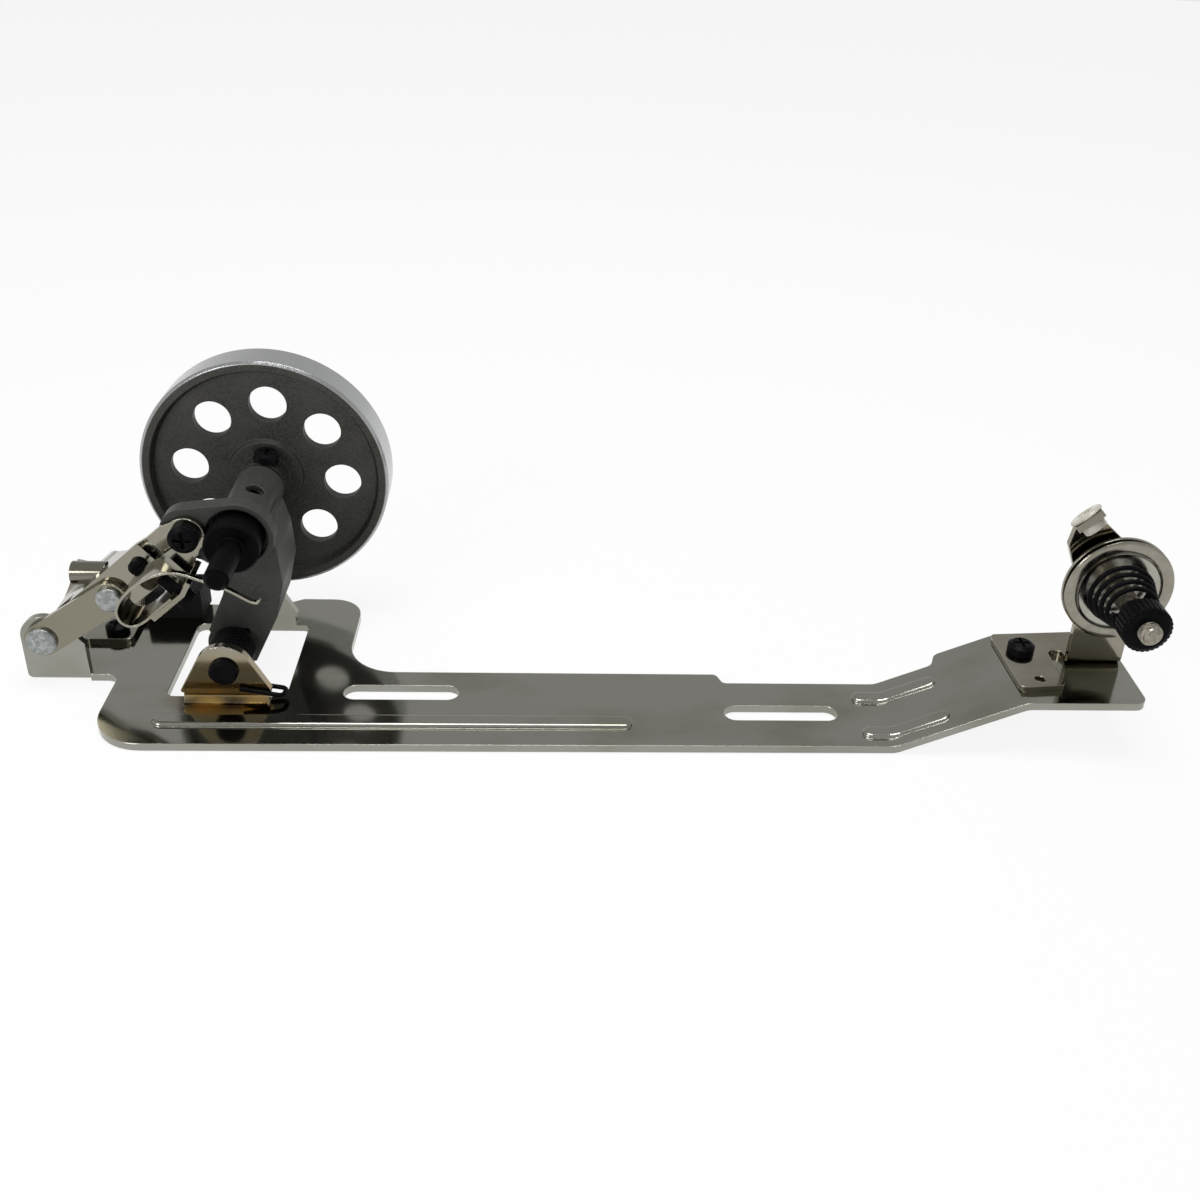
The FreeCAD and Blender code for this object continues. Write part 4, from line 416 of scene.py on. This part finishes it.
# painted dark brown shade inside the finger's loop
loop_painted_shade = ((-0.1065, 0.0034, 0.0287), (0.0095, 0.0046, 0.0095), (0.045, 0.030, 0.014))
finger_nickel = nickel("finger_nickel", (0.31, 0.295, 0.245), (0.2, 0.185, 0.14), [loop_painted_shade])
finger = made_solid("feeler_strip", strip, finger_nickel, crease_angle)
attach(finger, "lever")
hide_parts("latch_finger")

roll_ends, roll_y, roll_z, roll_outer, roll_inner = (-129.2, -120.8), 17.6, 28.0, 3.0, 2.2
roll_from, roll_sweep, roll_steps = 10, 290, 48
roll_turns = [math.radians(roll_from + roll_sweep * step / roll_steps) for step in range(roll_steps + 1)]
curl = bmesh.new()
ends = []
for x in roll_ends:
    ends.append([[curl.verts.new((x / 1000, (roll_y + radius * math.cos(angle)) / 1000,
                                  (roll_z + radius * math.sin(angle)) / 1000)) for angle in roll_turns]
                 for radius in (roll_outer, roll_inner)])
(left_out, left_in), (right_out, right_in) = ends
left_loop, right_loop = left_out + left_in[::-1], right_out + right_in[::-1]
for step in range(len(left_loop)):
    after = (step + 1) % len(left_loop)
    curl.faces.new((left_loop[step], left_loop[after], right_loop[after], right_loop[step]))
for outer, inner in ends:
    for step in range(roll_steps):
        curl.faces.new((outer[step], outer[step + 1], inner[step + 1], inner[step]))
# the roll's nickel is a darker copy of the lever's, as painted shade
shaded_roll_nickel = nickel("shaded_roll_nickel", (0.2, 0.188, 0.155), (0.12, 0.105, 0.075))
roll = made_solid("thumb_roll", curl, shaded_roll_nickel, crease_angle)
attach(roll, "lever")
dress(zinc_plate, "link_rivet", "knee_rivet")
dress(black_steel, "lever_pivot_screw", "finger_screw", "finger_adjuster")

# ---------------------------------------------------------------- wheel brake
# A plated bracket with a block of black rubber that stops the wheel when winding ends.
dress(nickel("brake_nickel", (0.27, 0.26, 0.225), (0.2, 0.19, 0.16)), "brake_bracket")
dress(black_steel, "brake_screw")
rubber = Finish("black_rubber", (0.008, 0.008, 0.008), 0.75, metallic=0.0, Specular_IOR_Level=0.2)
crumbs = rubber.noise(1500.0, detail=5.0)
dress(rubber.wear(rubber.tint(rubber.spread(crumbs, 0, 1), (0.004, 0.004, 0.004), (0.014, 0.014, 0.014)),
                  rubber.spread(crumbs, 0.65, 0.85), rubber.relief(crumbs, 0.08)), "brake_pad")

# ---------------------------------------------------------------- thread tension
# A plated sheet bracket holds a threaded stud with two discs, a black cone spring and a black
# knurled nut.  The stud's thread, the front disc's step, the cone and the white sleeve in the
# folded tab, which guides the thread, are made here.
stud_axis = (0.128, 0.0, 0.0393)
stud_x, stud_z = stud_axis[0], stud_axis[2]
lathe_crease, disc_steps, sleeve_steps = 32, 160, 96


def lathed(name, profile, finish, steps, stand=Matrix.Translation(stud_axis)):
    """A closed turned shape about the stand's Y axis, its profile in (y, radius) millimetres."""
    shape = bmesh.new()
    rings = []
    for y, radius in profile:
        angles = [2 * math.pi * step / steps for step in range(steps)] if radius > 0 else [0.0]
        rings.append([shape.verts.new((radius / 1000 * math.cos(angle), y / 1000,
                                       radius / 1000 * math.sin(angle))) for angle in angles])
    open_ended = len(rings[0]) == 1
    for near_ring, far_ring in zip(rings, rings[1:] if open_ended else rings[1:] + rings[:1]):
        for step in range(steps):
            corners = []
            for ring, place in ((near_ring, step), (near_ring, step + 1), (far_ring, step + 1),
                                (far_ring, step)):
                corner = ring[place % len(ring)]
                if corner not in corners:
                    corners.append(corner)
            shape.faces.new(corners)
    return made_solid(name, shape, finish, lathe_crease, stand)


# painted brown shade on the upright behind and above the top of the discs
upright_painted_shade = ((stud_x, 0.0005, 0.052), (0.010, 0.002, 0.012), painted_brown_shade)
dress(nickel("tension_nickel", (0.285, 0.265, 0.215), (0.2, 0.178, 0.13), [upright_painted_shade]), "tension_bracket")
disc = Finish("disc_nickel", (0.34, 0.325, 0.285), 0.09)
off = disc.node("ShaderNodeVectorMath", {0: disc.place, 1: stud_axis}, operation="SUBTRACT")
off = disc.node("ShaderNodeVectorMath", {0: off.outputs[0], 1: (1, 0, 1)}, operation="MULTIPLY")
turned = disc.node("ShaderNodeTexWave", {"Vector": off.outputs[0], "Scale": 900.0, "Distortion": 1.0},
                   wave_type="RINGS", rings_direction="SPHERICAL").outputs["Fac"]
scuffs = disc.noise(400.0, detail=4.0)
rounded, rim = disc.edges(0.3)
shade = disc.tint(disc.spread(scuffs, 0, 1), (0.26, 0.245, 0.2), (0.36, 0.345, 0.3))
# painted light on the discs: paler inside radius 10.6 mm, painted darker and browner shade on the flange outside
# it
inner_ring = disc.near((stud_x, -0.0039, stud_z), (0.0106, 0.02, 0.0106), 0.02)
shaded_outer, lit_inner = disc.tint(0.35, shade, (0.2, 0.18, 0.14)), disc.tint(0.25, shade, (0.5, 0.49, 0.44))
shade = disc.tint(inner_ring, shaded_outer, lit_inner)
# painted highlight along the discs' edges
shade = disc.tint(disc.sum(rim, 0.7, "MULTIPLY"), shade, (0.6, 0.58, 0.52))
disc_metal = disc.wear(shade, disc.spread(scuffs, 0.1, 0.24), disc.relief(turned, 0.003, 0.5, rounded))
dress(disc_metal, "rear_tension_disc")
# a flat web, a step forwards and a flange that curls back at its rim
disc_profile = [(-3.90, 2.85), (-3.90, 9.80), (-3.98, 10.15), (-4.35, 10.55), (-4.58, 10.80),
                (-4.66, 11.20), (-4.66, 12.20), (-4.58, 12.90), (-4.42, 13.40), (-4.20, 13.60),
                (-3.98, 13.55), (-3.90, 13.30), (-3.98, 12.70), (-4.04, 12.10), (-4.04, 11.30),
                (-3.96, 10.95), (-3.62, 10.50), (-3.32, 10.10), (-3.20, 9.70), (-3.20, 2.85)]
front_disc = lathed("stepped_disc", disc_profile, disc_metal, disc_steps)
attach(front_disc, "tension_disc")
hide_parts("front_tension_disc")
nut_black = blackened("nut_black", tone=0.002, roughness=0.3, grain=500.0)
dress(nut_black, "tension_nut")
dress(black_steel, "tension_foot_screw")

stud = Finish("stud_steel", (0.4, 0.37, 0.32), 0.35)
dents = stud.noise(900.0, detail=4.0)
rounded, rim = stud.edges(0.3)
bright_edges = stud.sum(stud.spread(dents, 0, 1), rim, "MAXIMUM")
stud_steel = stud.wear(stud.tint(bright_edges, (0.16, 0.145, 0.115), (0.38, 0.35, 0.295)),
                       stud.spread(dents, 0.25, 0.5), stud.relief(dents, 0.05, 0.7, rounded))
ridges, pitch, root, crest = 6, 0.7, 2.15, 2.70
stud_profile = [(-25.60, 0.0), (-25.60, 1.70), (-25.45, 1.95), (-25.10, 2.10)]
for ridge in range(ridges):
    stud_profile += [(-24.95 + pitch * ridge, root), (-24.70 + pitch * ridge, crest),
                     (-24.55 + pitch * ridge, crest)]
stud_profile += [(-20.40, crest), (1.20, crest), (1.20, 4.30), (1.90, 4.20), (2.20, 3.90), (2.20, 0.0)]
threaded = lathed("threaded_stud", stud_profile, stud_steel, sleeve_steps)
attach(threaded, "base")
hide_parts("tension_stud")

coil_tree = bpy.data.node_groups.new("wound_wire", "GeometryNodeTree")
coil_tree.interface.new_socket("Geometry", in_out="OUTPUT", socket_type="NodeSocketGeometry")
for label, kind in (("Wide Radius", "Float"), ("Narrow Radius", "Float"), ("Length", "Float"), ("Turns", "Float"),
                    ("Wire Radius", "Float"), ("Steps per Turn", "Int"), ("Finish", "Material")):
    coil_tree.interface.new_socket(label, in_out="INPUT", socket_type="NodeSocket" + kind)
sizes = coil_tree.nodes.new("NodeGroupInput")
spiral = coil_tree.nodes.new("GeometryNodeCurveSpiral")
for socket, label in (("Rotations", "Turns"), ("Start Radius", "Wide Radius"), ("End Radius", "Narrow Radius"),
                      ("Height", "Length"), ("Resolution", "Steps per Turn")):
    coil_tree.links.new(sizes.outputs[label], spiral.inputs[socket])
wire = coil_tree.nodes.new("GeometryNodeCurvePrimitiveCircle")
wire.inputs["Resolution"].default_value = 10
sweep = coil_tree.nodes.new("GeometryNodeCurveToMesh")
sweep.inputs["Fill Caps"].default_value = True
real = coil_tree.nodes.new("GeometryNodeRealizeInstances")
paint = coil_tree.nodes.new("GeometryNodeSetMaterial")
coil_out = coil_tree.nodes.new("NodeGroupOutput")
for given, taken in ((sizes.outputs["Wire Radius"], wire.inputs["Radius"]),
                     (spiral.outputs["Curve"], sweep.inputs["Curve"]),
                     (wire.outputs["Curve"], sweep.inputs["Profile Curve"]),
                     (sweep.outputs["Mesh"], real.inputs["Geometry"]),
                     (real.outputs["Geometry"], paint.inputs["Geometry"]),
                     (sizes.outputs["Finish"], paint.inputs["Material"]),
                     (paint.outputs["Geometry"], coil_out.inputs["Geometry"])):
    coil_tree.links.new(given, taken)
holder = bpy.data.objects.new("coil_holder", bpy.data.meshes.new("coil_holder"))
scene.collection.objects.link(holder)
modifier = holder.modifiers.new("wire", "NODES")
modifier.node_group = coil_tree
keys = {item.name: item.identifier for item in coil_tree.interface.items_tree if item.in_out == "INPUT"}
for label, value in (("Wide Radius", 0.0080), ("Narrow Radius", 0.0054), ("Length", 0.0105), ("Turns", 4.5),
                     ("Wire Radius", 0.0006), ("Steps per Turn", 40), ("Finish", black_steel)):
    modifier[keys[label]] = value
holder.update_tag()
bpy.context.view_layer.update()
coils = bpy.data.meshes.new_from_object(holder.evaluated_get(bpy.context.evaluated_depsgraph_get()))
coils.transform(Matrix.Translation((stud_x, -0.0045, stud_z)) @ Matrix.Rotation(math.radians(90), 4, "X"))
coils.shade_smooth()
bpy.data.objects.remove(holder)
cone = bpy.data.objects.new("cone_spring_coils", coils)
scene.collection.objects.link(cone)
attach(cone, "tension_disc")
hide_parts("tension_spring")

porcelain = Finish("white_sleeve", (0.55, 0.53, 0.46), 0.25, metallic=0.0)
haze = porcelain.noise(300.0, detail=4.0)
white_sleeve = porcelain.wear(porcelain.tint(porcelain.spread(haze, 0, 1), (0.42, 0.4, 0.33), (0.6, 0.58, 0.51)),
                              porcelain.spread(haze, 0.16, 0.3),
                              porcelain.relief(haze, 0.01, 0.2, porcelain.edges(0.5)[0]))
fold_low, fold_high = Vector((0.1154, 0.0004, 0.0544)), Vector((0.1208, 0.0004, 0.0593))
seat_from_fold = 0.0044
along = (fold_low - fold_high).normalized()
upward = Vector((-0.56, 0.43, 0.71))
upward = (upward - along * upward.dot(along)).normalized()
seat = (fold_low + fold_high) / 2 + upward.cross(along) * seat_from_fold
# a rounded flange above the tab and a long barrel through it
sleeve_profile = [(2.00, 2.10), (2.06, 2.60), (2.04, 3.30), (1.90, 3.75), (1.60, 4.10), (1.30, 4.20),
                  (1.02, 4.10), (0.85, 3.85), (0.80, 3.50), (0.80, 2.90), (-2.55, 2.90), (-2.85, 2.80),
                  (-3.00, 2.55), (-3.00, 1.85), (-2.90, 1.68), (-2.70, 1.60), (1.30, 1.60), (1.70, 1.72),
                  (1.90, 1.90)]
upright_stand = Matrix.Translation(seat) @ upward.to_track_quat("Y", "Z").to_matrix().to_4x4()
sleeve = lathed("porcelain_sleeve", sleeve_profile, white_sleeve, sleeve_steps, upright_stand)
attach(sleeve, "base")
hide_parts("thread_eyelet")
